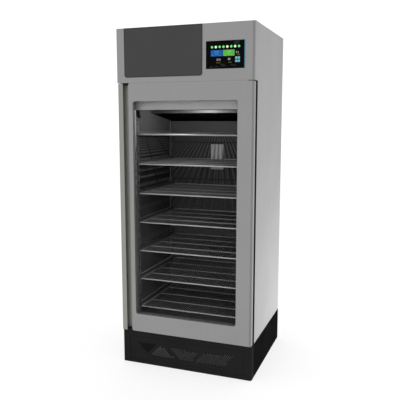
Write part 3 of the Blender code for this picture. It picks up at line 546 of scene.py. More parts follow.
class Effects:
    """The node groups for effects that several finishes share, each built once."""

    made: dict[str, bpy.types.NodeTree] = {}

    @classmethod
    def group(cls, name: str, inputs: dict[str, float], outputs: list[str]) -> tuple:
        """Starts a node group with number inputs and outputs.

        Args:
            name: the group's name.
            inputs: its number inputs and their defaults. A vector named Place comes first.
            outputs: the names of its number outputs.

        Returns:
            The tree being built, its inputs' sockets and its output node.
        """
        made = bpy.data.node_groups.new(name, "ShaderNodeTree")
        face = made.interface
        face.new_socket(name="Place", in_out="INPUT", socket_type="NodeSocketVector")
        for label, value in inputs.items():
            socket = face.new_socket(name=label, in_out="INPUT", socket_type="NodeSocketFloat")
            socket.default_value = value
        for label in outputs:
            face.new_socket(name=label, in_out="OUTPUT", socket_type="NodeSocketFloat")
        cls.made[name] = made
        start = made.nodes.new("NodeGroupInput")
        return Tree(made), start.outputs, made.nodes.new("NodeGroupOutput")

    @classmethod
    def brushing(cls) -> bpy.types.NodeTree:
        """Long fine scratches, given a place that is already stretched along them."""
        name = "brushing"
        if name not in cls.made:
            tree, start, end = cls.group(name, {"Fineness": 1.0}, ["Lines", "Streaks"])
            place, fineness = start["Place"], start["Fineness"]
            fine = tree.noise(place, fineness, 3.0)
            broad = tree.noise(place, tree.times(fineness, 0.12), 2.0)
            tree.put(end, Lines=tree.ramp(fine, 0.3, 0.7), Streaks=tree.ramp(broad, 0.35, 0.65))
        return cls.made[name]

    @classmethod
    def handling(cls) -> bpy.types.NodeTree:
        """Soft patches where a surface has been wiped and touched, and specks of dust."""
        name = "handling"
        if name not in cls.made:
            tree, start, end = cls.group(name, {"Patch": 3.0, "Speck": 700.0}, ["Wiped", "Dust"])
            patch = tree.noise(start["Place"], start["Patch"], 4.0)
            speck = tree.noise(start["Place"], start["Speck"], 1.0)
            tree.put(end, Wiped=tree.ramp(patch, 0.35, 0.7), Dust=tree.ramp(speck, 0.68, 0.8))
        return cls.made[name]

    @classmethod
    def shelf_shade(cls) -> bpy.types.NodeTree:
        """Where one wire shelf stands between a place and the lamp.

        The place is measured from the lamp, so a straight line from it meets the shelf's level
        at the share Drop / -z of the way.
        """
        name = "shelf_shade"
        if name not in cls.made:
            sizes = {"Drop": 0.15, "Pitch": 0.015, "Wire": 0.0031, "Front": 0.0, "Step": 0.14,
                     "Bar": 0.0055, "Half": 0.325}
            tree, size, end = cls.group(name, sizes, ["Shade"])
            parts = tree.parts(size["Place"])
            fall = tree.math("MAXIMUM", tree.times(parts["Z"], -1.0), 0.001)
            share = tree.math("DIVIDE", size["Drop"], fall)
            across = tree.times(parts["X"], share)
            along = tree.less(tree.times(parts["Y"], share), size["Front"])
            wires = cls.stripes(tree, across, size["Pitch"], size["Wire"])
            bars = cls.stripes(tree, along, size["Step"], size["Bar"])
            below = tree.math("LESS_THAN", share, 0.98)
            reach = tree.math("LESS_THAN", tree.math("ABSOLUTE", across), size["Half"])
            level = tree.times(below, reach)
            tree.put(end, Shade=tree.times(level, tree.math("MAXIMUM", wires, bars)))
        return cls.made[name]

    @staticmethod
    def stripes(tree: Tree, place: Socket, pitch: Socket, half: Socket) -> Socket:
        """Soft-edged stripes about every multiple of a pitch.

        Args:
            tree: the tree that they are built in.
            place: the distance across them.
            pitch: their spacing.
            half: half a stripe's width.

        Returns:
            1 on a stripe, 0 between them.
        """
        turn = tree.math("FRACT", tree.math("ADD", tree.math("DIVIDE", place, pitch), 0.5))
        away = tree.times(tree.math("ABSOLUTE", tree.less(turn, 0.5)), pitch)
        edge = tree.times(tree.math("DIVIDE", tree.less(half, away), half), 3.0)
        return tree.math("MINIMUM", tree.math("MAXIMUM", edge, 0.0), 1.0)

    @classmethod
    def use(cls, tree: Tree, effect: bpy.types.NodeTree, place: Socket, **inputs: float) -> dict:
        """Places an effect in a material.

        Args:
            tree: the material's tree.
            effect: the node group.
            place: the coordinates it reads.
            inputs: its number inputs.

        Returns:
            Its output sockets by name.
        """
        node = tree.tree.nodes.new("ShaderNodeGroup")
        node.node_tree = effect
        tree.put(node, Place=place, **inputs)
        return {socket.name: socket for socket in node.outputs}


# Finishes


def grey(value: float) -> Colour:
    """A neutral colour."""
    return (value, value, value)


@dataclass(frozen=True)
class Finish:
    """What every finish has.

    Args:
        name: the material's name.
        colour: its base colour, linear.
        roughness: how dull it is.
        metallic: how far it is a metal.
        specular: the strength of its gloss, 0.5 for most plastics and paints.
    """

    name: str
    colour: Colour
    roughness: float
    metallic: float = 0.0
    specular: float = 0.5

    def material(self) -> bpy.types.Material:
        """The finish's material, made at its first use."""
        found = bpy.data.materials.get(self.name)
        if found:
            return found
        made = bpy.data.materials.new(self.name)
        made.use_nodes = True
        tree = Tree(made.node_tree)
        shader = made.node_tree.nodes["Principled BSDF"]
        place = tree.add("TexCoord").outputs["Object"]
        tree.put(shader, Metallic=self.metallic, Specular_IOR_Level=self.specular)
        self.shade(tree, shader, place)
        made.cycles.emission_sampling = "NONE"
        return made

    def shade(self, tree: Tree, shader: Node, place: Socket) -> None:
        """Wires up the surface. Each kind of finish has its own."""
        raise NotImplementedError

    def bump(self, tree: Tree, shader: Node, height: Socket, depth: float) -> None:
        """Raises the surface by a height, of this depth in metres."""
        node = tree.put(tree.add("Bump"), Height=height, Distance=depth, Strength=1.0)
        tree.put(shader, Normal=node.outputs["Normal"])

    @staticmethod
    def darken(tree: Tree, shader: Node, share: object) -> None:
        """Takes a share of the base colour away, given as a number or a socket."""
        base = shader.inputs["Base Color"].links[0].from_socket
        tree.put(shader, Base_Color=tree.mix(share, base, BLACK))

    def toned(self, factor: float) -> Colour:
        """The base colour, made lighter or darker by a factor."""
        return tuple(value * factor for value in self.colour)


@dataclass(frozen=True)
class BrushedMetal(Finish):
    """Stainless or coated sheet with a brushed grain.

    Args:
        grain: the way of the brushing.
        contrast: how far the grain changes the colour.
        depth: the depth of its scratches.
    """

    grain: Grain = Grain.UPRIGHT
    contrast: float = 0.05
    depth: float = 0.00002

    def shade(self, tree: Tree, shader: Node, place: Socket) -> None:
        """Fine scratches over soft handling patches."""
        drawn = tree.vector("MULTIPLY", place, self.grain.value)
        lines = Effects.use(tree, Effects.brushing(), drawn, Fineness=1.0)
        touch = Effects.use(tree, Effects.handling(), place, Patch=2.5, Speck=900.0)
        dark, light = self.toned(1 - self.contrast), self.toned(1 + self.contrast)
        base = tree.mix(lines["Lines"], dark, light)
        worn = tree.mix(tree.times(touch["Wiped"], 0.25), base, self.toned(0.94))
        streaks = tree.times(lines["Streaks"], 0.06)
        wiped = tree.scaled(touch["Wiped"], 0.08, self.roughness - 0.06)
        tree.put(shader, Base_Color=worn, Roughness=tree.math("ADD", streaks, wiped))
        self.bump(tree, shader, lines["Lines"], self.depth)


@dataclass(frozen=True)
class FoldShadedSheet(BrushedMetal):
    """Brushed sheet with a band of painted shade beside the fold at its right edge: the dark of
    the rounded corner, and of the jamb's face in the door's gap.

    Args:
        fold: the X between which the painted shade lies.
        soft: how far the tone fades at each side.
        deep: how much darker the painted shade makes it.
        reach: the Y behind which there is no painted shade.
        reach_soft: how far the tone fades before that.
    """

    fold: Span = (0.410, 0.4235)
    soft: float = 0.003
    deep: float = 0.26
    reach: float = 0.0
    reach_soft: float = 0.0005

    def shade(self, tree: Tree, shader: Node, place: Socket) -> None:
        """Brushed sheet with a band of painted shade along the fold."""
        super().shade(tree, shader, place)
        parts = tree.parts(place)
        left, right = self.fold
        rise = tree.ramp(parts["X"], left, left + self.soft, 0.0, self.deep)
        fall = tree.ramp(parts["X"], right - self.soft / 2, right, 1.0, 0.0)
        near = tree.ramp(parts["Y"], self.reach - self.reach_soft, self.reach, 1.0, 0.0)
        # Painted shade: the base colour is darkened in the band beside the fold.
        self.darken(tree, shader, tree.times(tree.times(rise, fall), near))


@dataclass(frozen=True)
class ShadowPaintedMetal(BrushedMetal):
    """The chamber's sheet, with painted shadows of the top shelves, as the lamp throws them.

    Args:
        lamp: where the lamp is.
        shelves: how far below it each shelf lies.
        front: the Y of the shelves' front rail.
        step: the spacing of their cross bars.
        shadow_strength: how dark the painted shadows are.
        shadow_fade: the heights between which the painted shadows fade in.
    """

    lamp: Place = (0.0, -0.2357, 1.6095)
    shelves: tuple[float, ...] = (0.1535, 0.336, 0.5185)
    front: float = -0.294
    step: float = 0.14375
    shadow_strength: float = 0.68
    shadow_fade: Span = (0.75, 1.30)

    def shade(self, tree: Tree, shader: Node, place: Socket) -> None:
        """Brushed sheet with painted shadow where a shelf keeps the lamp off it."""
        super().shade(tree, shader, place)
        away = tree.vector("SUBTRACT", place, self.lamp)
        open_way: object = 1.0
        for drop in self.shelves:
            held = Effects.use(
                tree, Effects.shelf_shade(), away, Drop=drop,
                Front=self.front - self.lamp[1], Step=self.step,
            )["Shade"]
            open_way = tree.times(open_way, tree.less(1.0, held))
        # Painted shadow: the base colour is darkened where the shelves hide the lamp, fading out
        # towards the bottom.
        depth = tree.ramp(tree.parts(place)["Z"], *self.shadow_fade, 0.0, self.shadow_strength)
        self.darken(tree, shader, tree.times(tree.less(1.0, open_way), depth))


@dataclass(frozen=True)
class PolishedWire(BrushedMetal):
    """Bright wire that throws no glints on the walls round it."""

    def shade(self, tree: Tree, shader: Node, place: Socket) -> None:
        """Brushed metal that is black to the light that leaves a dull wall."""
        super().shade(tree, shader, place)
        self.darken(tree, shader, tree.add("LightPath").outputs["Is Diffuse Ray"])


@dataclass(frozen=True)
class PaintedSheet(Finish):
    """Powder-coated sheet with a fine orange peel.

    Args:
        peel: the fineness of the coat's texture, in turns a metre.
        depth: the height of it.
    """

    peel: float = 900.0
    depth: float = 0.00004

    def shade(self, tree: Tree, shader: Node, place: Socket) -> None:
        """A grained coat with faint dust in it."""
        peel = tree.noise(place, self.peel, 2.0)
        touch = Effects.use(tree, Effects.handling(), place, Patch=4.0, Speck=1300.0)
        worn = tree.mix(touch["Wiped"], self.toned(0.92), self.toned(1.12))
        dusty = tree.mix(tree.times(touch["Dust"], 0.03), worn, (0.25, 0.25, 0.24))
        rough = tree.scaled(touch["Wiped"], -0.10, self.roughness + 0.05)
        tree.put(shader, Base_Color=dusty, Roughness=rough)
        self.bump(tree, shader, peel, self.depth)


@dataclass(frozen=True)
class MouldedPlastic(Finish):
    """Injection-moulded plastic with a spark-eroded texture.

    Args:
        texture: its fineness, in turns a metre.
        depth: its height.
    """

    texture: float = 1600.0
    depth: float = 0.00002

    def shade(self, tree: Tree, shader: Node, place: Socket) -> None:
        """A fine pebbled surface with slight flow marks."""
        pebble = tree.noise(place, self.texture, 1.0)
        touch = Effects.use(tree, Effects.handling(), place, Patch=9.0, Speck=1500.0)
        flow = tree.mix(touch["Wiped"], self.toned(0.95), self.toned(1.06))
        rough = tree.scaled(pebble, 0.10, self.roughness - 0.05)
        tree.put(shader, Base_Color=flow, Roughness=rough)
        self.bump(tree, shader, pebble, self.depth)


@dataclass(frozen=True)
class SoftRubber(Finish):
    """Matt sealing rubber with a chalky bloom."""

    def shade(self, tree: Tree, shader: Node, place: Socket) -> None:
        """Dull black with a lighter bloom in patches."""
        bloom = tree.noise(place, 60.0, 5.0)
        grit = tree.noise(place, 2500.0, 1.0)
        colour = tree.mix(tree.ramp(bloom, 0.45, 0.8, end=0.5), self.colour, self.toned(1.9))
        rough = tree.scaled(bloom, 0.12, self.roughness - 0.06)
        tree.put(shader, Base_Color=colour, Roughness=rough)
        self.bump(tree, shader, grit, 0.00002)


@dataclass(frozen=True)
class ClearGlass(Finish):
    """A clear pane.

    Args:
        cover: how much of what is seen meets the glass and doesn't pass straight on.
        shade_cover: how much of the light that falls through it is held back by its coating.
    """

    cover: float = 0.008
    shade_cover: float = 0.82

    def shade(self, tree: Tree, shader: Node, place: Socket) -> None:
        """Plain glass with a faint film of handling."""
        touch = Effects.use(tree, Effects.handling(), place, Patch=3.0, Speck=1200.0)
        tree.put(shader, IOR=1.12, Base_Color=(*self.colour, 1.0), Transmission_Weight=1.0)
        film = tree.scaled(touch["Wiped"], 0.006, self.cover)
        path = tree.add("LightPath").outputs
        falling = tree.math("MAXIMUM", path["Is Shadow Ray"], path["Is Diffuse Ray"])
        held = tree.times(falling, self.shade_cover - self.cover)
        rough = tree.scaled(touch["Wiped"], 0.02, self.roughness)
        tree.put(shader, Alpha=tree.math("ADD", film, held), Roughness=rough)


@dataclass(frozen=True)
class Glow(Finish):
    """A lit surface, such as a lamp's lens or a mark on the display.

    Args:
        power: how bright it is.
        spread: the fineness of its unevenness, in turns a metre.
    """

    power: float = 1.0
    spread: float = 40.0

    def shade(self, tree: Tree, shader: Node, place: Socket) -> None:
        """An even glow with slight unevenness."""
        uneven = tree.noise(place, self.spread, 1.0)
        lit = tree.mix(tree.ramp(uneven, 0.3, 0.7), self.toned(0.9), self.colour)
        tree.put(
            shader, Emission_Strength=self.power, Roughness=self.roughness, Emission_Color=lit,
            Base_Color=tree.mix(0.65, lit, BLACK),
        )


@dataclass(frozen=True)
class FramedPanel(Finish):
    """A dark overlay with a slightly darker border.

    Args:
        centre: the panel's middle in X and Z.
        half: half its width and height.
        border: the border's width.
    """

    centre: tuple[float, float] = (0.0, 0.0)
    half: tuple[float, float] = (1.0, 1.0)
    border: float = 0.006

    def shade(self, tree: Tree, shader: Node, place: Socket) -> None:
        """A satin print whose edge is darker."""
        parts = tree.parts(place)
        edges = []
        for axis, middle, half in zip("XZ", self.centre, self.half):
            away = tree.math("ABSOLUTE", tree.less(parts[axis], middle))
            edges.append(tree.less(away, half - self.border))
        border = tree.ramp(tree.math("MAXIMUM", *edges), -0.0005, 0.0005)
        touch = Effects.use(tree, Effects.handling(), place, Patch=5.0, Speck=1100.0)
        face = tree.mix(touch["Wiped"], self.toned(0.97), self.toned(1.03))
        rough = tree.scaled(touch["Wiped"], 0.06, self.roughness - 0.03)
        tree.put(shader, Base_Color=tree.mix(border, face, self.toned(0.78)), Roughness=rough)
        self.bump(tree, shader, tree.noise(place, 1400.0, 1.0), 0.00001)


# The front and side sheets carry painted shade beside their right-hand fold.
FRONT_STEEL = FoldShadedSheet("satin_front", grey(0.280), 0.46, 0.55, contrast=0.03)
SIDE_STEEL = FoldShadedSheet(
    "satin_side", grey(0.288), 0.48, 0.45, contrast=0.03,
    fold=(0.400, 0.4268), soft=0.001, deep=0.92, reach=-0.3065,
)
# The liner's finish carries painted shadows of the top shelves.
LINER_STEEL = ShadowPaintedMetal("satin_liner", grey(0.037), 0.60, 0.0, 0.02, contrast=0.06)
RACK_STEEL = BrushedMetal("rack_steel", grey(0.09), 0.42, 0.5, 0.3, Grain.NONE, 0.08)
RUNNER_STEEL = PolishedWire("runner_steel", grey(0.07), 0.40, 0.4, 0.3, Grain.NONE)
# The runners' top lips are a lighter copy of the runners' steel: a painted highlight on their lit
# top edges.
LIP_HIGHLIGHT_STEEL = BrushedMetal("lip_rail", grey(0.24), 0.50, 0.1, 0.2, Grain.NONE)
HEADER_STEEL = BrushedMetal("header_steel", grey(0.36), 0.45, 0.3, 0.3, Grain.ACROSS, 0.04)
LIP_STEEL = BrushedMetal("lip_steel", grey(0.034), 0.55, 0.6, 0.1, Grain.ACROSS, 0.04)
ZINC = BrushedMetal("zinc_sheet", (0.42, 0.43, 0.44), 0.50, 0.7, grain=Grain.NONE, contrast=0.16)
ALUMINIUM = BrushedMetal("anodised_aluminium", (0.285, 0.285, 0.258), 0.42, 0.5, contrast=0.02)
# The spacer's finish carries the same painted shadows of the shelves' wires.
SPACER = ShadowPaintedMetal("spacer_aluminium", grey(0.13), 0.60, 0.0, 0.1, Grain.NONE, shadow_strength=0.35)
RAIL = PolishedWire("polished_rail", grey(0.32), 0.62, 0.7, 0.3, Grain.NONE)
BAR = PolishedWire("polished_bar", grey(0.24), 0.60, 0.3, 0.2, Grain.NONE)
WIRE = PolishedWire("polished_wire", grey(0.15), 0.60, 0.6, 0.2, Grain.NONE)
FINS = BrushedMetal("thin_fin_aluminium", (0.24, 0.24, 0.235), 0.55, 0.2, 0.2, Grain.NONE)
COPPER = BrushedMetal("copper_tube", (0.45, 0.20, 0.11), 0.34, 1.0, grain=Grain.NONE)
HINGE_STEEL = BrushedMetal("dark_hinge_steel", grey(0.05), 0.42, 0.6, 0.3, Grain.ACROSS, 0.1)
SCREW_STEEL = BrushedMetal("screw_steel", (0.45, 0.45, 0.44), 0.32, 0.9, grain=Grain.NONE)
# The base paint and the skirt's paint are lit and shaded copies of one black coat: the skirt's
# darker copy is painted shade.
PLINTH_PAINT = PaintedSheet("base_paint", grey(0.0150), 0.70, 0.0, 0.015)
SKIRT_SHADED_PAINT = PaintedSheet("skirt_paint", grey(0.0038), 0.70, 0.0, 0.005)
COMPRESSOR_PAINT = PaintedSheet("compressor_enamel", (0.012, 0.012, 0.013), 0.36)
CORE_BLACK = MouldedPlastic("door_black", grey(0.004), 0.80, 0.0, 0.0)
BLACK_PLASTIC = MouldedPlastic("black_moulding", grey(0.006), 0.60, 0.0, 0.12)
PAN_BLACK = MouldedPlastic("pan_underside", grey(0.008), 0.90, 0.0, 0.0)
GREY_PLASTIC = MouldedPlastic("grey_moulding", grey(0.22), 0.50, 0.0, 0.2)
WHITE_NYLON = MouldedPlastic("white_nylon", (0.62, 0.61, 0.57), 0.55)
SEAL = SoftRubber("seal_rubber", grey(0.006), 0.78, 0.0, 0.15)
PANE = ClearGlass("clear_glass", (0.95, 0.98, 0.97), 0.01)
INNER_PANE = ClearGlass("inner_glass", (0.95, 0.98, 0.97), 0.01, shade_cover=0.10)
SCREEN_BLACK = MouldedPlastic("screen_black", (0.0015, 0.0015, 0.002), 0.20, 0.0, 0.03, 300.0, 0.0)
# A black plate of painted shade behind the first vent patch.
VENT_SHADE_PLATE = MouldedPlastic("vent_backing", grey(0.0015), 0.9, 0.0, 0.0)
LAMP_LENS = Glow("lamp_lens", (1.0, 0.98, 0.94), 0.35, power=0.5)


def add_piece(
    name: str, mesh: BMesh, finish: Finish, body: Body, replaces: Iterable[str] = (),
    smooth: float = 40.0,
) -> None:
    """Makes a finished piece of a mesh and sets it on its body.

    Args:
        name: the piece's name.
        mesh: its shape, in the frame. It is freed.
        finish: its finish.
        body: the body that carries it.
        replaces: the CAD nodes that it stands for.
        smooth: the angle in degrees below which edges are shaded smooth.
    """
    data = bpy.data.meshes.new(name)
    mesh.to_mesh(data)
    mesh.free()
    data.shade_smooth()
    data.set_sharp_from_angle(angle=math.radians(smooth))
    made = bpy.data.objects.new(name, data)
    bpy.context.scene.collection.objects.link(made)
    data.materials.append(finish.material())
    weighted = made.modifiers.new("weighted", "WEIGHTED_NORMAL")
    weighted.keep_sharp = True
    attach(made, body.value)
    for node in replaces:
        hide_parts(node)
    LOG.info("%s: %d faces, on %s", name, len(data.polygons), body.value)


def dress(finish: Finish, *nodes: str) -> None:
    """Gives CAD nodes that stay their finish."""
    for node in nodes:
        shown = frame["nodes"][node]
        shown.data.materials.clear()
        shown.data.materials.append(finish.material())
        LOG.info("%s: dressed in %s", node, finish.name)


# Sub-assemblies


@dataclass
class Cladding:
    """The insulated body's outer sheets.

    Args:
        edge: the rounding of the sheets' folds.
        back_edge: the rounding of the two upright edges at the back.
        screw_inset: how far the screws lie inside the sheets' edges.
        screw_head: the radius of their heads.
        socket_share: the heads' height and their sockets' radius, as a share of that.
    """

    edge: float = 0.0012
    back_edge: float = 0.0045
    screw_inset: float = 0.012
    screw_head: float = 0.0045
    socket_share: float = 0.45

    def build(self) -> None:
        """Makes both side walls and dresses the rest."""
        for side in ("left", "right"):
            self.side_wall(side)
        dress(SIDE_STEEL, "back_panel", "roof_cover")
        dress(FRONT_STEEL, "floor_panel")
        dress(ZINC, "ceiling_panel", "rear_service_cover")
        self.screws()

    def screws(self) -> None:
        """The screws that hold the cover and the sheet at the back."""
        cover = Block.of("rear_service_cover")
        sheet = Block.of("back_panel")
        mesh = bmesh.new()
        for block, count in ((cover, 4), (sheet, 3)):
            span = shrunk(block.x, self.screw_inset)
            for up in shrunk(block.z, self.screw_inset):
                for index in range(count):
                    across = span[0] + index / (count - 1) * (span[1] - span[0])
                    add(mesh, self.screw(Vector((across, block.y[1], up))))
        add_piece("back_screws", mesh, SCREW_STEEL, Body.CABINET)

    def screw(self, foot: Vector) -> BMesh:
        """One screw head with a hexagonal socket, standing out towards +Y."""
        height = self.screw_head * self.socket_share
        middle = foot + Vector((0, height / 2, 0))
        mesh = disc(middle, self.screw_head, height, Axis.Y, 20)
        socket = bmesh.new()
        add_peg(socket, foot + Vector((0, height, 0)), height, height, Axis.Y, 6)
        return cut(mesh, socket)

    def side_wall(self, side: str) -> None:
        """One side wall, rounded at its back edge."""
        block = Block.of(f"side_panel_{side}")
        mesh = cuboid(block)
        outer = block.x[0] if side == "left" else block.x[1]
        corner = [
            edge for edge in mesh.edges
            if runs_along(edge, Axis.Z)
            and abs(edge.verts[0].co.x - outer) < self.edge
            and abs(edge.verts[0].co.y - block.y[1]) < self.edge
        ]
        bevel(mesh, corner, self.back_edge, 5)
        break_edges(mesh, self.edge)
        add_piece(
            f"side_wall_{side}", mesh, SIDE_STEEL, Body.CABINET,
            [f"side_panel_{side}"],
        )


class Ink(Enum):
    """The colours of the display's marks."""

    GREEN_LAMP = (0.18, 0.75, 0.17)
    WHITE_LAMP = (0.75, 0.95, 0.72)
    BLUE = (0.020, 0.135, 0.47)
    PALE_BLUE = (0.06, 0.24, 0.72)
    GREEN = (0.13, 0.55, 0.09)
    PALE_GREEN = (0.22, 0.66, 0.16)
    CYAN = (0.24, 0.62, 0.70)
    WHITE = (0.62, 0.62, 0.66)
    OLIVE = (0.11, 0.095, 0.010)
    AMBER = (0.20, 0.11, 0.005)
    GREY = (0.022, 0.022, 0.024)
    RED = (0.16, 0.012, 0.02)
    DARK_GREEN = (0.010, 0.06, 0.02)
    TEAL = (0.025, 0.26, 0.36)

    def finish(self) -> Glow:
        """The glowing finish in this colour, brighter for the round lights."""
        power = 0.8 if self in (Ink.GREEN_LAMP, Ink.WHITE_LAMP) else 0.45
        return Glow(f"display_{self.name.lower()}", self.value, 0.30, 0.0, 0.03, power, 300.0)


@dataclass
class Digits:
    """A number in plain seven-part figures.

    Args:
        value: the figures, with a point where one belongs.
        left: where the number starts.
        base: the height of its foot.
        height: the height of the figures.
        wide: a figure's width, as a share of that.
        thick: its bars' thickness, as a share of the height.
        gap: the gap between figures, as a share of that thickness.
    """

    value: str
    left: float
    base: float
    height: float
    wide: float = 0.52
    thick: float = 0.17
    gap: float = 1.4

    PARTS = {
        "0": "abcdef", "1": "bc", "2": "abged", "3": "abgcd", "4": "fgbc", "5": "afgcd",
        "6": "afgedc", "7": "abc", "8": "abcdefg", "9": "abcdfg",
    }

    def spans(self) -> Iterator[tuple[Span, Span]]:
        """The X and Z spans of every bar."""
        wide = self.height * self.wide
        thick = self.height * self.thick
        along = self.left
        for figure in self.value:
            if figure == ".":
                yield (along, along + thick), (self.base, self.base + thick)
                along += thick * 2
                continue
            for part in self.PARTS[figure]:
                yield self.bar(part, along, wide, thick)
            along += wide + thick * self.gap

    def bar(self, part: str, left: float, wide: float, thick: float) -> tuple[Span, Span]:
        """One bar of a figure.

        Args:
            part: its letter, from a at the top round to f, and g in the middle.
            left: where the figure starts.
            wide: the figure's width.
            thick: the bars' thickness.

        Returns:
            The bar's X and Z spans.
        """
        top = self.base + self.height
        middle = self.base + self.height / 2
        level = {"a": top - thick, "g": middle - thick / 2, "d": self.base}
        if part in level:
            return (left, left + wide), (level[part], level[part] + thick)
        side = left if part in "fe" else left + wide - thick
        reach = (middle, top) if part in "fb" else (self.base, middle)
        return (side, side + thick), reach


@dataclass
class Display:
    """The touch screen: a black glass front with generic lit marks.

    Args:
        corner: the glass's corner radius.
        rim: the rounding of its front edge.
        depth: how far the lit marks stand out of the glass.
        lamp: the radius of the round marks in the top row.
        lamp_start: where that row starts.
        lamp_pitch: the spacing in that row.
        lamp_level: that row's height.
        lamps: how many it has.
        white: which of them are white.
        tile_rise: the two large tiles' foot and top, above the screen's.
        tile_spans: each one's ink, its fields' ink, its left and its right.
        tile_fields: a tile's fields, each one's left, right, foot and top in it.
        key: the half-width of the four small square marks.
        key_columns: their middles across.
        key_rows: their middles above the screen's foot.
        numbers: the plain numbers, each one's left, foot and height.
        marks: the other marks' names and inks, and each patch's left, right, foot, top and slant.
        edge_line: the right edge's line, its left and right from that edge, and its margin.
    """

    corner: float = 0.003
    rim: float = 0.0004
    depth: float = 0.00015
    lamp: float = 0.0068
    lamp_start: float = 0.1772
    lamp_pitch: float = 0.0224
    lamp_level: float = 1.9478
    lamps: int = 8
    white: tuple[int, ...] = (1, 4, 6)
    tile_rise: Span = (0.0680, 0.1010)
    tile_spans: tuple[tuple[Ink, Ink, float, float], ...] = (
        (Ink.BLUE, Ink.PALE_BLUE, 0.1701, 0.2391), (Ink.GREEN, Ink.PALE_GREEN, 0.2418, 0.3086),
    )
    tile_fields: tuple[tuple[float, float, float, float], ...] = (
        (0.021, 0.048, 0.0190, 0.0290), (0.004, 0.014, 0.0115, 0.0145),
        (0.024, 0.042, 0.0085, 0.0150), (0.044, 0.058, 0.0030, 0.0070),
        (0.006, 0.020, 0.0020, 0.0055),
    )
    key: float = 0.0062
    key_columns: Span = (0.3190, 0.3335)
    key_rows: Span = (0.0395, 0.0565)
    numbers: tuple[tuple[str, float, float, float], ...] = (
        ("12.5", 0.2020, 0.0440, 0.0105), ("80", 0.2710, 0.0455, 0.0105),
        ("3.5", 0.3170, 0.0815, 0.0095),
    )
    marks: tuple[tuple[str, Ink, tuple[tuple[float, ...], ...]], ...] = (
        ("olive_lines", Ink.OLIVE, (
            (0.2030, 0.2270, 0.0300, 0.0350, 0.0), (0.2720, 0.2930, 0.0305, 0.0355, 0.0),
        )),
        ("amber_line", Ink.AMBER, ((0.3230, 0.3400, 0.0700, 0.0755, 0.0),)),
        ("faint_fields", Ink.GREY, (
            (0.300, 0.330, 0.129, 0.150, 0.012), (0.236, 0.262, 0.012, 0.026, -0.014),
            (0.292, 0.322, 0.014, 0.022, -0.010), (0.190, 0.214, 0.008, 0.014, 0.004),
        )),
        ("red_icon", Ink.RED, ((0.1760, 0.1810, 0.0040, 0.0130, 0.0),)),
        ("green_icon", Ink.DARK_GREEN, ((0.1660, 0.1715, 0.0040, 0.0130, 0.0),)),
    )
    edge_line: tuple[float, float, float] = (0.0034, 0.0004, 0.003)

    def build(self) -> None:
        """Makes the glass and its marks."""
        whole = Block.of("touch_screen_glass")
        self.front = whole.y[0]
        self.level = whole.z[0]
        glass = Block(whole.x, (whole.y[0] + 2 * self.depth, whole.y[1]), whole.z)
        mesh = rounded_along(glass, Axis.Y, self.corner, self.rim, 4)
        add_piece(
            "display_glass", mesh, SCREEN_BLACK, Body.CABINET,
            ["touch_screen_glass"],
        )
        dress(BLACK_PLASTIC, "touch_screen_housing")
        self.lamp_row()
        self.tiles()
        self.figures()
        self.flat_marks(whole)

    def show(self, name: str, ink: Ink, mesh: BMesh) -> None:
        """Adds marks of one colour."""
        add_piece(f"display_{name}", mesh, ink.finish(), Body.CABINET)

    def patch(self, x: Span, z: Span, lift: int = 0) -> BMesh:
        """A thin flat mark.

        Args:
            x: its span from left to right.
            z: its span upwards.
            lift: 1 for a mark that lies on another one.

        Returns:
            Its mesh.
        """
        front = self.front + self.depth * (1 - lift)
        return cuboid(Block(x, (front, front + self.depth), z))

    def lamp_row(self) -> None:
        """The row of round lights."""
        for ink, chosen in ((Ink.WHITE_LAMP, True), (Ink.GREEN_LAMP, False)):
            row = bmesh.new()
            for place in range(self.lamps):
                if (place in self.white) == chosen:
                    middle = (self.lamp_start + place * self.lamp_pitch,
                              self.front + self.depth * 1.5, self.lamp_level)
                    add_peg(row, middle, self.lamp, self.depth, Axis.Y, 24)
            self.show(ink.name.lower(), ink, row)

    def tiles(self) -> None:
        """The two large tiles with lighter fields in them, and the four small squares."""
        low, high = [self.level + rise for rise in self.tile_rise]
        for ink, pale, left, right in self.tile_spans:
            self.show(f"{ink.name.lower()}_tile", ink, self.patch((left, right), (low, high)))
            fields = bmesh.new()
            for start, end, foot, top in self.tile_fields:
                add(fields, self.patch((left + start, left + end), (low + foot, low + top), 1))
            self.show(f"{pale.name.lower()}_fields", pale, fields)
        keys = bmesh.new()
        for across in self.key_columns:
            for rise in self.key_rows:
                up = self.level + rise
                add(keys, self.patch(
                    (across - self.key, across + self.key), (up - self.key, up + self.key)))
        self.show("keys", Ink.CYAN, keys)

    def figures(self) -> None:
        """The plain numbers."""
        figures = bmesh.new()
        for value, left, foot, height in self.numbers:
            for x, z in Digits(value, left, self.level + foot, height).spans():
                add(figures, self.patch(x, z))
        self.show("figures", Ink.WHITE, figures)

    def flat_marks(self, whole: Block) -> None:
        """The short lines, the faint slanting fields, the two icons and the right edge's line."""
        for name, ink, patches in self.marks:
            mesh = bmesh.new()
            for left, right, low, high, slant in patches:
                mark = self.patch((left, right), (self.level + low, self.level + high))
                top = [vert for vert in mark.verts if vert.co.z > self.level + (low + high) / 2]
                bmesh.ops.translate(mark, vec=(slant, 0, 0), verts=top)
                add(mesh, mark)
            self.show(name, ink, mesh)
        start, end, margin = self.edge_line
        edge = self.patch((whole.x[1] - start, whole.x[1] - end), shrunk(whole.z, margin))
        self.show("edge_line", Ink.TEAL, edge)


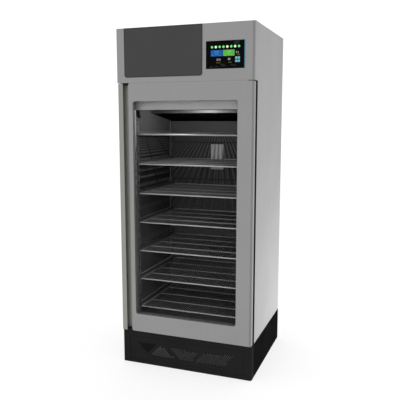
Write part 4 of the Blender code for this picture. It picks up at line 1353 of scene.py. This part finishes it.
@dataclass
class Head:
    """The cover over the door, with its dark panel.

    Args:
        panel_corner: the radius of the dark panel's lower corners.
        panel_rim: the rounding of its front edge.
        border: the width of its darker edge.
    """

    panel_corner: float = 0.016
    panel_rim: float = 0.0004
    border: float = 0.007

    def build(self) -> None:
        """Makes the panel and dresses the cover."""
        dress(FRONT_STEEL, "head_fascia")
        dress(GREY_PLASTIC, "control_box")
        block = Block.of("dark_front_panel")
        mesh = cuboid(block)
        low = [
            edge for edge in mesh.edges
            if runs_along(edge, Axis.Y) and edge.verts[0].co.z < block.centre.z
        ]
        bevel(mesh, low, self.panel_corner, 8)
        break_edges(mesh, self.panel_rim)
        centre = (block.centre.x, block.centre.z)
        half = (block.size.x / 2, block.size.z / 2)
        finish = FramedPanel(
            "dark_print", grey(0.052), 0.55, 0.0, 0.12, centre, half, self.border,
        )
        add_piece(
            "dark_overlay", mesh, finish, Body.CABINET, ["dark_front_panel"],
        )


@dataclass
class Door:
    """The glazed door: its steel face, core, seal and glass.

    Args:
        edge: the rounding of the steel face's outer corners at the right and below.
        rim: the rounding of its front edges.
        window_corner: the radius of the window's corners.
        rebate: how far the face laps over the glass.
        top_lift: how far the top edge stands up beside the hinge plate.
        notch: the gap at that plate's side.
        notch_slope: the width over which the top edge steps down there.
        bead_width: the width of the bead round the inner pane.
        bead_corners: the radii of its hole's and of its own corners.
        bead_rim: the rounding of its edges.
        bead_gap: its gap to the pane and to the core's back.
        bead_inset: how far it stays inside the pane's edge.
        seal_rim: the rounding of the seal's folds.
        seal_rings: each fold's inset, its width, and the shares of the depth it spans.
    """

    edge: float = 0.010
    rim: float = 0.0012
    window_corner: float = 0.014
    rebate: float = 0.012
    top_lift: float = 0.0034
    notch: float = 0.002
    notch_slope: float = 0.0008
    bead_width: float = 0.0085
    bead_corners: tuple[float, float] = (0.004, 0.002)
    bead_rim: float = 0.0006
    bead_gap: float = 0.0002
    bead_inset: float = 0.0005
    seal_rim: float = 0.0007
    seal_rings: tuple[tuple[float, float, float, float], ...] = (
        (0.0, 0.022, 0.0, 0.28), (0.004, 0.014, 0.26, 0.44), (0.0015, 0.019, 0.42, 0.62),
        (0.003, 0.012, 0.60, 1.0),
    )

    def build(self) -> None:
        """Makes the door's pieces."""
        skin = Block.of("door_skin")
        glass = Block.of("glass_outer")
        window = Block(shrunk(glass.x, self.rebate), skin.y, shrunk(glass.z, self.rebate))
        mesh = plate_ring(skin, window, self.window_corner, self.edge, self.rim)
        self.raise_top(mesh, skin)
        add_piece("door_face", mesh, FRONT_STEEL, Body.DOOR, ["door_skin"])
        dress(CORE_BLACK, "door_core")
        dress(PANE, "glass_outer")
        dress(INNER_PANE, "glass_inner")
        dress(SPACER, "glass_spacer")
        self.gasket()
        self.bead()
        for end in ("top", "bottom"):
            dress(WHITE_NYLON, f"hinge_bush_{end}")
            dress(HINGE_STEEL, f"hinge_pin_{end}", f"hinge_plate_{end}")

    def gasket(self) -> None:
        """The magnetic seal: a flat foot, two bellows folds and the magnet's pocket."""
        whole = Block.of("door_gasket")
        front, back = whole.y
        mesh = bmesh.new()
        for lead, width, near, far in self.seal_rings:
            y = (front + near * (back - front), front + far * (back - front))
            outer = Block(shrunk(whole.x, lead), y, shrunk(whole.z, lead))
            hole = outer.inset(x=width, z=width)
            add(mesh, plate_ring(outer, hole, 0.0, 0.0, self.seal_rim))
        add_piece("door_seal", mesh, SEAL, Body.DOOR, ["door_gasket"])

    def bead(self) -> None:
        """The glazing bead round the inner pane."""
        glass = Block.of("glass_inner")
        y = shrunk((glass.y[1], Block.of("door_core").y[1]), self.bead_gap)
        outer = Block(shrunk(glass.x, self.bead_inset), y, shrunk(glass.z, self.bead_inset))
        hole = outer.inset(x=self.bead_width, z=self.bead_width)
        mesh = plate_ring(outer, hole, *self.bead_corners, self.bead_rim)
        add_piece("glazing_bead", mesh, SEAL, Body.DOOR)

    def raise_top(self, mesh: BMesh, skin: Block) -> None:
        """Draws the face's top edge up to the head, except under the hinge plate."""
        notch = Block.of("hinge_plate_top").x[0] - self.notch
        for place in (notch, notch + self.notch_slope):
            bmesh.ops.bisect_plane(
                mesh, geom=[*mesh.verts, *mesh.edges, *mesh.faces], dist=1e-6,
                plane_co=(place, 0, 0), plane_no=(1, 0, 0),
            )
        level = skin.z[1] - 3 * self.rim
        moved = [vert for vert in mesh.verts if vert.co.z > level and vert.co.x < notch + 1e-4]
        bmesh.ops.translate(mesh, vec=(0, 0, self.top_lift), verts=moved)


@dataclass
class Handle:
    """The extruded profile along the door's free edge.

    Args:
        lip_width: the width of the front lip.
        sheet: the thickness of the lip and of the outer web.
        channel: the depth of the finger channel.
        edge: the rounding of the profile's long edges.
        cap: the height of the black caps in the channel's ends.
        gap: the gap round those caps.
    """

    lip_width: float = 0.031
    sheet: float = 0.003
    channel: float = 0.030
    edge: float = 0.0009
    cap: float = 0.010
    gap: float = 0.0003

    def build(self) -> None:
        """Makes the profile and its end caps."""
        block = Block.of("handle_profile")
        left, right = block.x
        front, back = block.y
        floor = front + self.channel
        points = [
            (left, front), (left + self.lip_width, front),
            (left + self.lip_width, front + self.sheet), (left + self.sheet, front + self.sheet),
            (left + self.sheet, floor), (right, floor), (right, back), (left, back),
        ]
        mesh = extruded(points, block.z, self.edge)
        add_piece(
            "handle_extrusion", mesh, ALUMINIUM, Body.DOOR, ["handle_profile"],
        )
        inner = (left + self.sheet + self.gap, right - self.gap)
        deep = (front + self.sheet + self.gap, floor - self.gap)
        caps = bmesh.new()
        for low in (block.z[0], block.z[1] - self.cap):
            add(caps, rounded(Block(inner, deep, (low, low + self.cap)), self.edge, 2))
        add_piece("handle_caps", caps, BLACK_PLASTIC, Body.DOOR)


@dataclass
class WireShelf:
    """One wire shelf: a rim, cross bars and close wires from front to back.

    Args:
        number: which shelf, counted from the top.
        rim: the rim rod's radius.
        bar: the cross bars' radius.
        wire: the close wires' radius.
        pitch: the spacing of the close wires.
        bars: the number of cross bars, rims included.
        smooth: the angle in degrees below which a rod's facets are shaded smooth.
    """

    number: int
    rim: float = 0.0040
    bar: float = 0.0030
    wire: float = 0.0025
    pitch: float = 0.015
    bars: int = 5
    smooth: float = 60.0

    def build(self) -> None:
        """Makes the shelf in its CAD lattice's place."""
        block = Block.of(f"shelf_{self.number}")
        x, y = shrunk(block.x, self.rim), shrunk(block.y, self.rim)
        frame_rods, bars, wires = [bmesh.new() for _ in range(3)]
        self.add_rim(frame_rods, x, y, block.z[0] + self.rim)
        self.show("frame", frame_rods, RAIL, [f"shelf_{self.number}"])
        high = block.z[1] - self.bar
        for index in range(1, self.bars - 1):
            along = y[0] + index / (self.bars - 1) * (y[1] - y[0])
            ends = [Vector((across, along, high)) for across in x]
            add(bars, rod(*ends, self.bar, 8))
        self.show("bars", bars, BAR)
        top = block.z[1] - self.wire
        side = int(x[1] / self.pitch)
        for index in range(-side, side + 1):
            across = index * self.pitch
            ends = [Vector((across, along, top)) for along in shrunk(y, -self.rim / 2)]
            add(wires, rod(*ends, self.wire, 6))
        self.show("wires", wires, WIRE)

    def show(self, kind: str, mesh: BMesh, finish: Finish, replaces: Iterable[str] = ()) -> None:
        """Adds one kind of the shelf's rods, shaded round.

        Args:
            kind: their name.
            mesh: their shape.
            finish: their finish.
            replaces: the CAD nodes that they stand for.
        """
        name = f"shelf_{kind}_{self.number}"
        add_piece(name, mesh, finish, Body.CABINET, replaces, self.smooth)

    def add_rim(self, mesh: BMesh, x: Span, y: Span, level: float) -> None:
        """The rim's four rods, with a round joint at each corner."""
        corners = [Vector((across, along, level)) for across, along in
                   ((x[0], y[0]), (x[1], y[0]), (x[1], y[1]), (x[0], y[1]))]
        for start, end in zip(corners, corners[1:] + corners[:1]):
            add(mesh, rod(start, end, self.rim, 12))
        for corner in corners:
            bmesh.ops.create_uvsphere(
                mesh, u_segments=12, v_segments=8, radius=self.rim,
                matrix=Matrix.Translation(corner),
            )


@dataclass
class Rack:
    """One side's two perforated uprights and the angle runners that they carry.

    Args:
        side: -1 for the left, 1 for the right.
        upright_depth: how far the uprights stand off the wall.
        upright_width: their width.
        hole: the radius of their hook holes.
        hole_rise: how far the holes lie above a shelf's middle, past whole pitches.
        shelf_pitch: the spacing of the shelves.
        sheet: the runners' thickness.
        flange: the width of the flange under a shelf.
        rise: how far the runners' webs stand above the shelves' middle.
        fold: the rounding of their folded edges.
        shade_strip_gap: the gap between the wall and the black strips in the uprights, which are
            painted shade behind the holes.
        rest_gap: the gap between a shelf and its flange.
    """

    side: int
    upright_depth: float = 0.0087
    upright_width: float = 0.030
    hole: float = 0.0072
    hole_rise: float = 0.003
    shelf_pitch: float = 0.1825
    sheet: float = 0.002
    flange: float = 0.022
    rise: float = 0.018
    fold: float = 0.0006
    shade_strip_gap: float = 0.0005
    rest_gap: float = 0.0003

    def build(self) -> None:
        """Makes the uprights and the runners."""
        end = "left" if self.side < 0 else "right"
        whole = Block.of(f"rack_{end}")
        wall = whole.x[0] if self.side < 0 else whole.x[1]
        face = wall - self.side * self.upright_depth
        spans = ((whole.y[0], whole.y[0] + self.upright_width),
                 (whole.y[1] - self.upright_width, whole.y[1]))
        uprights, holes, hole_shades, runners, lips = [bmesh.new() for _ in range(5)]
        hollow = sorted((wall - self.side * self.shade_strip_gap, face + self.side * 2 * self.sheet))
        high = shrunk(whole.z, self.sheet)
        for span in spans:
            add(uprights, extruded(self.channel(wall, face, span), whole.z, self.fold))
            # Painted shade: a black strip fills each upright's hollow, so that its holes show
            # dark.
            add(hole_shades, cuboid(Block(tuple(hollow), shrunk(span, 2 * self.sheet), high)))
            for level in self.hole_levels(whole.z[1]):
                middle = (face, sum(span) / 2, level)
                add_peg(holes, middle, self.hole, self.upright_depth, Axis.X, 16)
        add_piece(
            f"rack_uprights_{end}", cut(uprights, holes), RACK_STEEL, Body.CABINET,
            [f"rack_{end}"],
        )
        add_piece(f"rack_strips_{end}", hole_shades, SEAL, Body.CABINET)
        clear = (spans[0][1], spans[1][0])
        for level in self.shelf_levels():
            add(runners, self.runner(face, whole.y, level))
            top = level + self.rise
            # Each lip takes the lighter steel, a painted highlight along the runner's top.
            lip = Block((min(wall, face), max(wall, face)), clear, (top - self.sheet, top))
            add(lips, cuboid(lip))
        add_piece(f"rack_runners_{end}", runners, RUNNER_STEEL, Body.CABINET)
        add_piece(f"rack_lips_{end}", lips, LIP_HIGHLIGHT_STEEL, Body.CABINET)

    @staticmethod
    def shelf_levels() -> list[float]:
        """The height of each shelf's middle."""
        return [Block.of(f"shelf_{number}").centre.z for number in range(1, 8)]

    def hole_levels(self, top: float) -> Iterator[float]:
        """The heights of the free holes above every shelf, up to a little under the top."""
        pitch = self.shelf_pitch / 3
        for level in self.shelf_levels():
            for step in (1, 2):
                rise = level + self.hole_rise + step * pitch
                if rise + self.hole < top:
                    yield rise

    def channel(self, wall: float, face: float, y: Span) -> list[Point]:
        """The outline of an upright: a channel that is open to the wall.

        Args:
            wall: the X of its open side.
            face: the X of its perforated face.
            y: its span.

        Returns:
            The outline's corners in X and Y.
        """
        back = face + self.side * self.sheet
        return [
            (wall, y[0]), (face, y[0]), (face, y[1]), (wall, y[1]),
            (wall, y[1] - self.sheet), (back, y[1] - self.sheet),
            (back, y[0] + self.sheet), (wall, y[0] + self.sheet),
        ]

    def runner(self, face: float, y: Span, level: float) -> BMesh:
        """One angle runner: a flange under the shelf and a web beside it.

        Args:
            face: the X of the uprights' front.
            y: the runner's span.
            level: the height of the shelf's middle.

        Returns:
            Its mesh.
        """
        inner = face - self.side * self.sheet
        tip = inner - self.side * self.flange
        seat = Block.of("shelf_1").size.z / 2 + self.rest_gap
        points = [
            (tip, level - seat - self.sheet), (face, level - seat - self.sheet),
            (face, level + self.rise), (inner, level + self.rise),
            (inner, level - seat), (tip, level - seat),
        ]
        return drawn_along_y(points, y, self.fold)


@dataclass
class Chamber:
    """What is seen through the glass: liner, racks, header and fittings."""

    def build(self) -> None:
        """Makes the chamber's pieces."""
        dress(LINER_STEEL, "chamber_liner")
        for side in (-1, 1):
            Rack(side).build()
        dress(HEADER_STEEL, "header_panel")
        dress(PAN_BLACK, "evaporator_pan")
        dress(LIP_STEEL, "pan_lip")
        dress(GREY_PLASTIC, "sensor_cover")
        dress(BLACK_PLASTIC, "door_switch")
        dress(LAMP_LENS, "chamber_lamp")
        for number in range(1, 8):
            WireShelf(number).build()


@dataclass
class FinPack:
    """A finned coil: thin upright fins between two end plates, on rows of copper tube.

    Args:
        node: the CAD node that it stands for.
        body_name: how its pieces are named.
        pitch: the spacing of the fins.
        fin: a fin's thickness.
        plate: an end plate's thickness.
        tube: the tubes' radius.
        rows: the number of tubes, one above the other.
        bend: how far the tubes' bends stand out of the end plates.
        margin: how far the fins stay inside the plates' edges.
        corner: the radius of the plates' corners.
        rim: the rounding of their other edges.
    """

    node: str
    body_name: str
    pitch: float = 0.0032
    fin: float = 0.0005
    plate: float = 0.0015
    tube: float = 0.0045
    rows: int = 6
    bend: float = 0.012
    margin: float = 0.001
    corner: float = 0.004
    rim: float = 0.0004

    def build(self) -> None:
        """Makes the fins, the end plates and the tubes."""
        whole = Block.of(self.node)
        core = whole.inset(x=self.bend + 2 * self.tube)
        fins = bmesh.new()
        count = int(core.size.x / self.pitch)
        half = self.fin / 2
        inner = core.inset(y=self.margin, z=self.margin)
        for index in range(1, count):
            across = core.x[0] + index * core.size.x / count
            add(fins, cuboid(Block((across - half, across + half), inner.y, inner.z)))
        add_piece(
            f"{self.body_name}_fins", fins, FINS, Body.CABINET, [self.node],
        )
        plates = bmesh.new()
        for start in (core.x[0], core.x[1] - self.plate):
            plate = Block((start, start + self.plate), whole.y, whole.z)
            add(plates, rounded_along(plate, Axis.X, self.corner, self.rim, 3))
        add_piece(f"{self.body_name}_end_plates", plates, ZINC, Body.CABINET)
        self.tubes(whole, core)

    def tubes(self, whole: Block, core: Block) -> None:
        """The copper tubes and the bends at their ends."""
        copper = bmesh.new()
        middle = whole.centre.y
        step = (core.size.z - 4 * self.tube) / (self.rows - 1)
        levels = [core.z[0] + 2 * self.tube + index * step for index in range(self.rows)]
        for level in levels:
            ends = Vector((core.x[0], middle, level)), Vector((core.x[1], middle, level))
            add(copper, rod(*ends, self.tube, 12))
        for index, (low, high) in enumerate(zip(levels, levels[1:])):
            side = core.x[1] if index % 2 else core.x[0]
            add(copper, self.bend_between(side, middle, low, high, 1 if index % 2 else -1))
        add_piece(f"{self.body_name}_tubes", copper, COPPER, Body.CABINET)

    def bend_between(self, side: float, along: float, low: float, high: float, way: int) -> BMesh:
        """A half-round bend from one tube to the next.

        Args:
            side: the X of the end plate that it stands on.
            along: its Y.
            low: the lower tube's height.
            high: the upper tube's height.
            way: 1 for a bend to the right, -1 for one to the left.

        Returns:
            Its mesh.
        """
        mesh = bmesh.new()
        ring = bmesh.ops.create_circle(
            mesh, cap_ends=False, segments=10, radius=self.tube,
            matrix=Matrix.Translation((side, along, low)) @ TURNS[Axis.X],
        )["verts"]
        edges = [edge for edge in mesh.edges if edge.verts[0] in ring]
        bmesh.ops.spin(
            mesh, geom=edges, cent=(side, along, (low + high) / 2), axis=(0, 1, 0),
            angle=HALF_TURN * way, steps=8, use_merge=False, use_duplicate=False,
        )
        flat = self.bend / ((high - low) / 2 + self.tube)
        place = Matrix.Translation((side, 0, 0))
        squash = place @ Matrix.Diagonal((min(flat, 1.0), 1, 1, 1)) @ place.inverted()
        bmesh.ops.transform(mesh, matrix=squash, verts=mesh.verts)
        bmesh.ops.recalc_face_normals(mesh, faces=mesh.faces)
        return mesh


@dataclass
class CoolingUnit:
    """The evaporator above the chamber and the condensing unit in the base."""

    def build(self) -> None:
        """Makes both coils and dresses the rest."""
        FinPack("condenser_coil", "condenser").build()
        FinPack("evaporator_coil", "evaporator", pitch=0.0060, rows=5).build()
        dress(BLACK_PLASTIC, "evaporator_fan_shroud")
        dress(ZINC, "condenser_fan_shroud")
        for place in ("evaporator", "condenser"):
            dress(BLACK_PLASTIC, f"{place}_fan_motor", f"{place}_fan_rotor")
        dress(COMPRESSOR_PAINT, "compressor")
        dress(BLACK_PLASTIC, "evaporation_tray")


@dataclass
class VentPanel:
    """The plinth's inset front with its patches of small lozenge holes.

    Args:
        joint: the width of the dark joint round the panel.
        step: the depth of that joint.
        pitch: the spacing of the holes in a row.
        half: half a hole's diagonal.
        clear: how far a hole's middle stays inside its patch, as a share of that.
        patches: each patch's corners in X and Z, clockwise from the top left.
        shade_plate: the black plate behind the first patch, in the same way, which is painted
            shade behind its holes.
        shade_plate_depth: that plate's room behind the panel.
        shade_plate_share: its thickness, as a share of that.
    """

    joint: float = 0.0030
    step: float = 0.0012
    pitch: float = 0.0150
    half: float = 0.0052
    clear: float = 0.35
    patches: tuple[Outline, ...] = (
        ((-0.3290, 0.1450), (-0.1935, 0.1430), (-0.2500, 0.0760), (-0.2560, 0.0760)),
        ((-0.1690, 0.1370), (-0.1590, 0.1370), (-0.0640, 0.0650), (-0.2460, 0.0670)),
        ((-0.1120, 0.1335), (0.0950, 0.1310), (0.0440, 0.0650), (-0.0420, 0.0650)),
        ((0.1180, 0.1310), (0.3260, 0.1440), (0.2530, 0.0660), (0.0580, 0.0640)),
    )
    shade_plate: Outline = ((-0.345, 0.156), (-0.176, 0.156), (-0.2500, 0.068), (-0.345, 0.068))
    shade_plate_depth: float = 0.0010
    shade_plate_share: float = 0.9

    def build(self) -> None:
        """Makes the panel, and the black plate of painted shade behind its first patch."""
        block = Block.of("plinth_grille")
        panel = self.stepped(block)
        holes = bmesh.new()
        middle = block.centre.y
        deep = block.size.y * 3
        for across, up in self.places(block):
            add_peg(holes, (across, middle, up), self.half, deep, Axis.Y, 4)
        add_piece(
            "vent_panel", cut(panel, holes), PLINTH_PAINT, Body.CABINET,
            ["plinth_grille"], 30.0,
        )
        # Painted shade: a black plate behind the first patch's holes makes them show dark.
        plate = bmesh.new()
        back = block.y[1] + self.shade_plate_depth
        face = plate.faces.new([plate.verts.new((x, back, z)) for x, z in self.shade_plate])
        bmesh.ops.solidify(plate, geom=[face], thickness=self.shade_plate_depth * self.shade_plate_share)
        bmesh.ops.recalc_face_normals(plate, faces=plate.faces)
        add_piece("vent_backing", plate, VENT_SHADE_PLATE, Body.CABINET)

    def stepped(self, block: Block) -> BMesh:
        """A plate whose face stands forward of a narrow rim, which shows as a dark joint."""
        low = Block(block.x, (block.y[0] + self.step, block.y[1]), block.z)
        mesh = cuboid(low)
        mesh.faces.ensure_lookup_table()
        front = [face for face in mesh.faces if face.normal.y < -0.5]
        bmesh.ops.inset_region(mesh, faces=front, thickness=self.joint, use_boundary=True)
        draw_out(mesh, front, (0, -self.step, 0))
        bmesh.ops.delete(mesh, geom=front, context="FACES")
        bmesh.ops.recalc_face_normals(mesh, faces=mesh.faces)
        return mesh

    def places(self, block: Block) -> Iterator[Point]:
        """Every hole's centre, in staggered rows."""
        rows = int(block.size.z / self.pitch * 2)
        columns = int(block.size.x / self.pitch)
        for row in range(rows):
            up = block.z[0] + row * self.pitch / 2
            for column in range(columns):
                across = block.x[0] + (column + row % 2 / 2) * self.pitch
                if any(self.within(across, up, patch) for patch in self.patches):
                    yield across, up

    def within(self, across: float, up: float, patch: Outline) -> bool:
        """Whether a hole's centre lies in a patch and clear of its edge.

        Args:
            across: the centre's X.
            up: the centre's Z.
            patch: the patch's corners, clockwise.

        Returns:
            True for a hole that is cut.
        """
        for start, end in zip(patch, patch[1:] + patch[:1]):
            edge = Vector((end[0] - start[0], end[1] - start[1]))
            side = Vector((across - start[0], up - start[1]))
            if (edge.y * side.x - edge.x * side.y) / edge.length < self.half * self.clear:
                return False
        return True


@dataclass
class Plinth:
    """The black base with its vented front."""

    def build(self) -> None:
        """Makes the plinth's pieces."""
        VentPanel().build()
        dress(PLINTH_PAINT, "plinth_front")
        # Painted shade: the skirt takes the darker copy of the black coat.
        dress(SKIRT_SHADED_PAINT, "plinth_skirt")
        dress(ZINC, "base_plate")
        dress(BLACK_PLASTIC, "mains_gland")
        for corner in ("front_left", "front_right", "back_left", "back_right"):
            dress(BLACK_PLASTIC, f"foot_{corner}")


@dataclass
class Studio:
    """The floor, the lights and the camera.

    Args:
        floor_size: the floor's width.
        floor_glow: its own brightness.
        surround: the brightness of what surrounds it, as the camera sees it.
        camera_place: where the camera stands.
        camera_turn: the way it looks, turned left from +Y, in degrees.
        camera_dip: how far it looks down, in degrees.
        lens: its focal length in millimetres on a 36 mm sensor.
        side_place: where the softbox hangs that lights the right side.
        side_target: the point that it faces.
        side_size: its width.
        side: its watts.
        side_pieces: the pieces that it lights.
        lamp: the chamber lamp's watts.
        lamp_offset: how far it is behind and below its lens.
        lamp_radius: its radius.
        under_lamp: the pieces so near the lamp that a weaker one lights them.
        glint_x: the weaker lamp's X.
        glint: its watts.
        fill_place: where the light stands that fills the chamber.
        fill: its watts.
        vent_place: where the light stands that fills the plinth.
        vent: its watts.
    """

    floor_size: float = 60.0
    floor_glow: float = 0.70
    surround: float = 1.1
    camera_place: Place = (1.2071, -3.3677, 1.5418)
    camera_turn: float = 20.18
    camera_dip: float = 8.20
    lens: float = 49.57
    side_place: Place = (1.35, 0.5, 0.0)
    side_target: Place = (0.427, 0.1, 0.2)
    side_size: float = 0.8
    side: float = 45.0
    side_pieces: tuple[str, ...] = ("side_wall_right", "head_fascia", "door_face")
    lamp: float = 8.5
    lamp_offset: tuple[float, float] = (0.03, 0.005)
    lamp_radius: float = 0.0015
    under_lamp: tuple[str, ...] = ("shelf_frame_1", "shelf_wires_1", "shelf_bars_1")
    glint_x: float = -0.10
    glint: float = 3.4
    fill_place: Place = (0.1, -0.8, 0.75)
    fill: float = 13.0
    vent_place: Place = (0.0, -1.4, 0.1)
    vent: float = 36.0

    def build(self) -> None:
        """Sets up the floor, the lights and the camera."""
        self.floor()
        self.world()
        self.side_light()
        self.chamber_light()
        self.chamber_fill()
        self.camera()
        bpy.context.scene.view_settings.view_transform = "Standard"

    def floor(self) -> None:
        """A plain pale floor."""
        mesh = bmesh.new()
        bmesh.ops.create_grid(mesh, x_segments=1, y_segments=1, size=self.floor_size / 2)
        data = bpy.data.meshes.new("floor")
        mesh.to_mesh(data)
        mesh.free()
        made = bpy.data.objects.new("floor", data)
        bpy.context.scene.collection.objects.link(made)
        finish = bpy.data.materials.new("pale_floor")
        finish.use_nodes = True
        Tree(finish.node_tree).put(
            finish.node_tree.nodes["Principled BSDF"], Base_Color=(*grey(0.35), 1.0),
            Emission_Color=WHITE, Emission_Strength=self.floor_glow, Roughness=0.9,
            Specular_IOR_Level=0.0,
        )
        finish.cycles.emission_sampling = "NONE"
        data.materials.append(finish)

    def world(self) -> None:
        """An even white surround, seen as plain white and giving a softer light."""
        world = bpy.data.worlds.new("studio")
        world.use_nodes = True
        bpy.context.scene.world = world
        tree = Tree(world.node_tree)
        nodes = world.node_tree.nodes
        seen = tree.put(tree.add("Background"), Color=WHITE, Strength=self.surround)
        lit = tree.put(nodes["Background"], Color=WHITE, Strength=1.0)
        to_camera = tree.add("LightPath").outputs["Is Camera Ray"]
        chosen = tree.add("MixShader")
        for value, target in zip((to_camera, lit.outputs[0], seen.outputs[0]), chosen.inputs):
            tree.join(value, target)
        tree.put(nodes["World Output"], Surface=chosen.outputs[0])

    def side_light(self) -> None:
        """The square softbox at the right."""
        light = bpy.data.lights.new("right_softbox", "AREA")
        light.size = self.side_size
        light.energy = self.side
        made = bpy.data.objects.new("right_softbox", light)
        made.location = self.side_place
        way = Vector(self.side_target) - Vector(self.side_place)
        made.rotation_euler = way.to_track_quat("-Z", "Y").to_euler()
        made.visible_glossy = False
        bpy.context.scene.collection.objects.link(made)
        self.light_alone(made, [bpy.data.objects[piece] for piece in self.side_pieces])

    def chamber_light(self) -> None:
        """The small lamp behind the header, which throws the shelves' shadows."""
        lamp = Block.of("chamber_lamp")
        behind, below = self.lamp_offset
        place = (0.0, lamp.y[1] + behind, lamp.z[0] - below)
        near = [piece for piece in bpy.data.objects if piece.name in self.under_lamp]
        rest = [piece for piece in bpy.data.objects if piece.name not in self.under_lamp]
        made = self.small_light("chamber_light", place, self.lamp, rest)
        made.data.shadow_soft_size = self.lamp_radius
        self.small_light("shelf_light", (self.glint_x, place[1], place[2]), self.glint, near)

    def chamber_fill(self) -> None:
        """Weak even lights in the chamber and behind the vents, for what walls throw about."""
        inside = ("shelf_", "rack_", "chamber_liner")
        lit = [piece for piece in bpy.data.objects if piece.name.startswith(inside)]
        vents = [bpy.data.objects["condenser_fins"]]
        for name, place, power, pieces in (
            ("chamber_fill", self.fill_place, self.fill, lit),
            ("vent_fill", self.vent_place, self.vent, vents),
        ):
            made = self.small_light(name, place, power, pieces)
            made.data.use_shadow = False
            made.visible_glossy = False

    @staticmethod
    def small_light(name: str, place: Place, power: float, lit: list[Thing]) -> Thing:
        """A point light that reaches the given pieces alone.

        Args:
            name: its name.
            place: where it is.
            power: its watts.
            lit: the pieces that it lights.

        Returns:
            Its object.
        """
        light = bpy.data.lights.new(name, "POINT")
        light.energy = power
        made = bpy.data.objects.new(name, light)
        made.location = place
        bpy.context.scene.collection.objects.link(made)
        Studio.light_alone(made, lit)
        return made

    @staticmethod
    def light_alone(light: Thing, lit: list[Thing]) -> None:
        """Lets a light reach the given pieces and no others."""
        group = bpy.data.collections.new(f"{light.name}_pieces")
        for piece in lit:
            group.objects.link(piece)
        light.light_linking.receiver_collection = group

    def camera(self) -> None:
        """The camera at the photograph's place."""
        data = bpy.data.cameras.new("camera")
        data.sensor_width = 36.0
        data.lens = self.lens
        made = bpy.data.objects.new("camera", data)
        made.location = self.camera_place
        down = math.radians(90.0 - self.camera_dip)
        made.rotation_euler = (down, 0.0, math.radians(self.camera_turn))
        bpy.context.scene.collection.objects.link(made)
        bpy.context.scene.camera = made


def main() -> None:
    """Builds every sub-assembly and the studio."""
    logging.basicConfig(level=logging.INFO, format="%(message)s")
    parts: list = [
        Cladding(), Head(), Display(), Door(), Handle(), Chamber(), CoolingUnit(), Plinth(),
        Studio(),
    ]
    for part in parts:
        LOG.info("building %s", type(part).__name__)
        part.build()


if __name__ == "__main__":
    main()
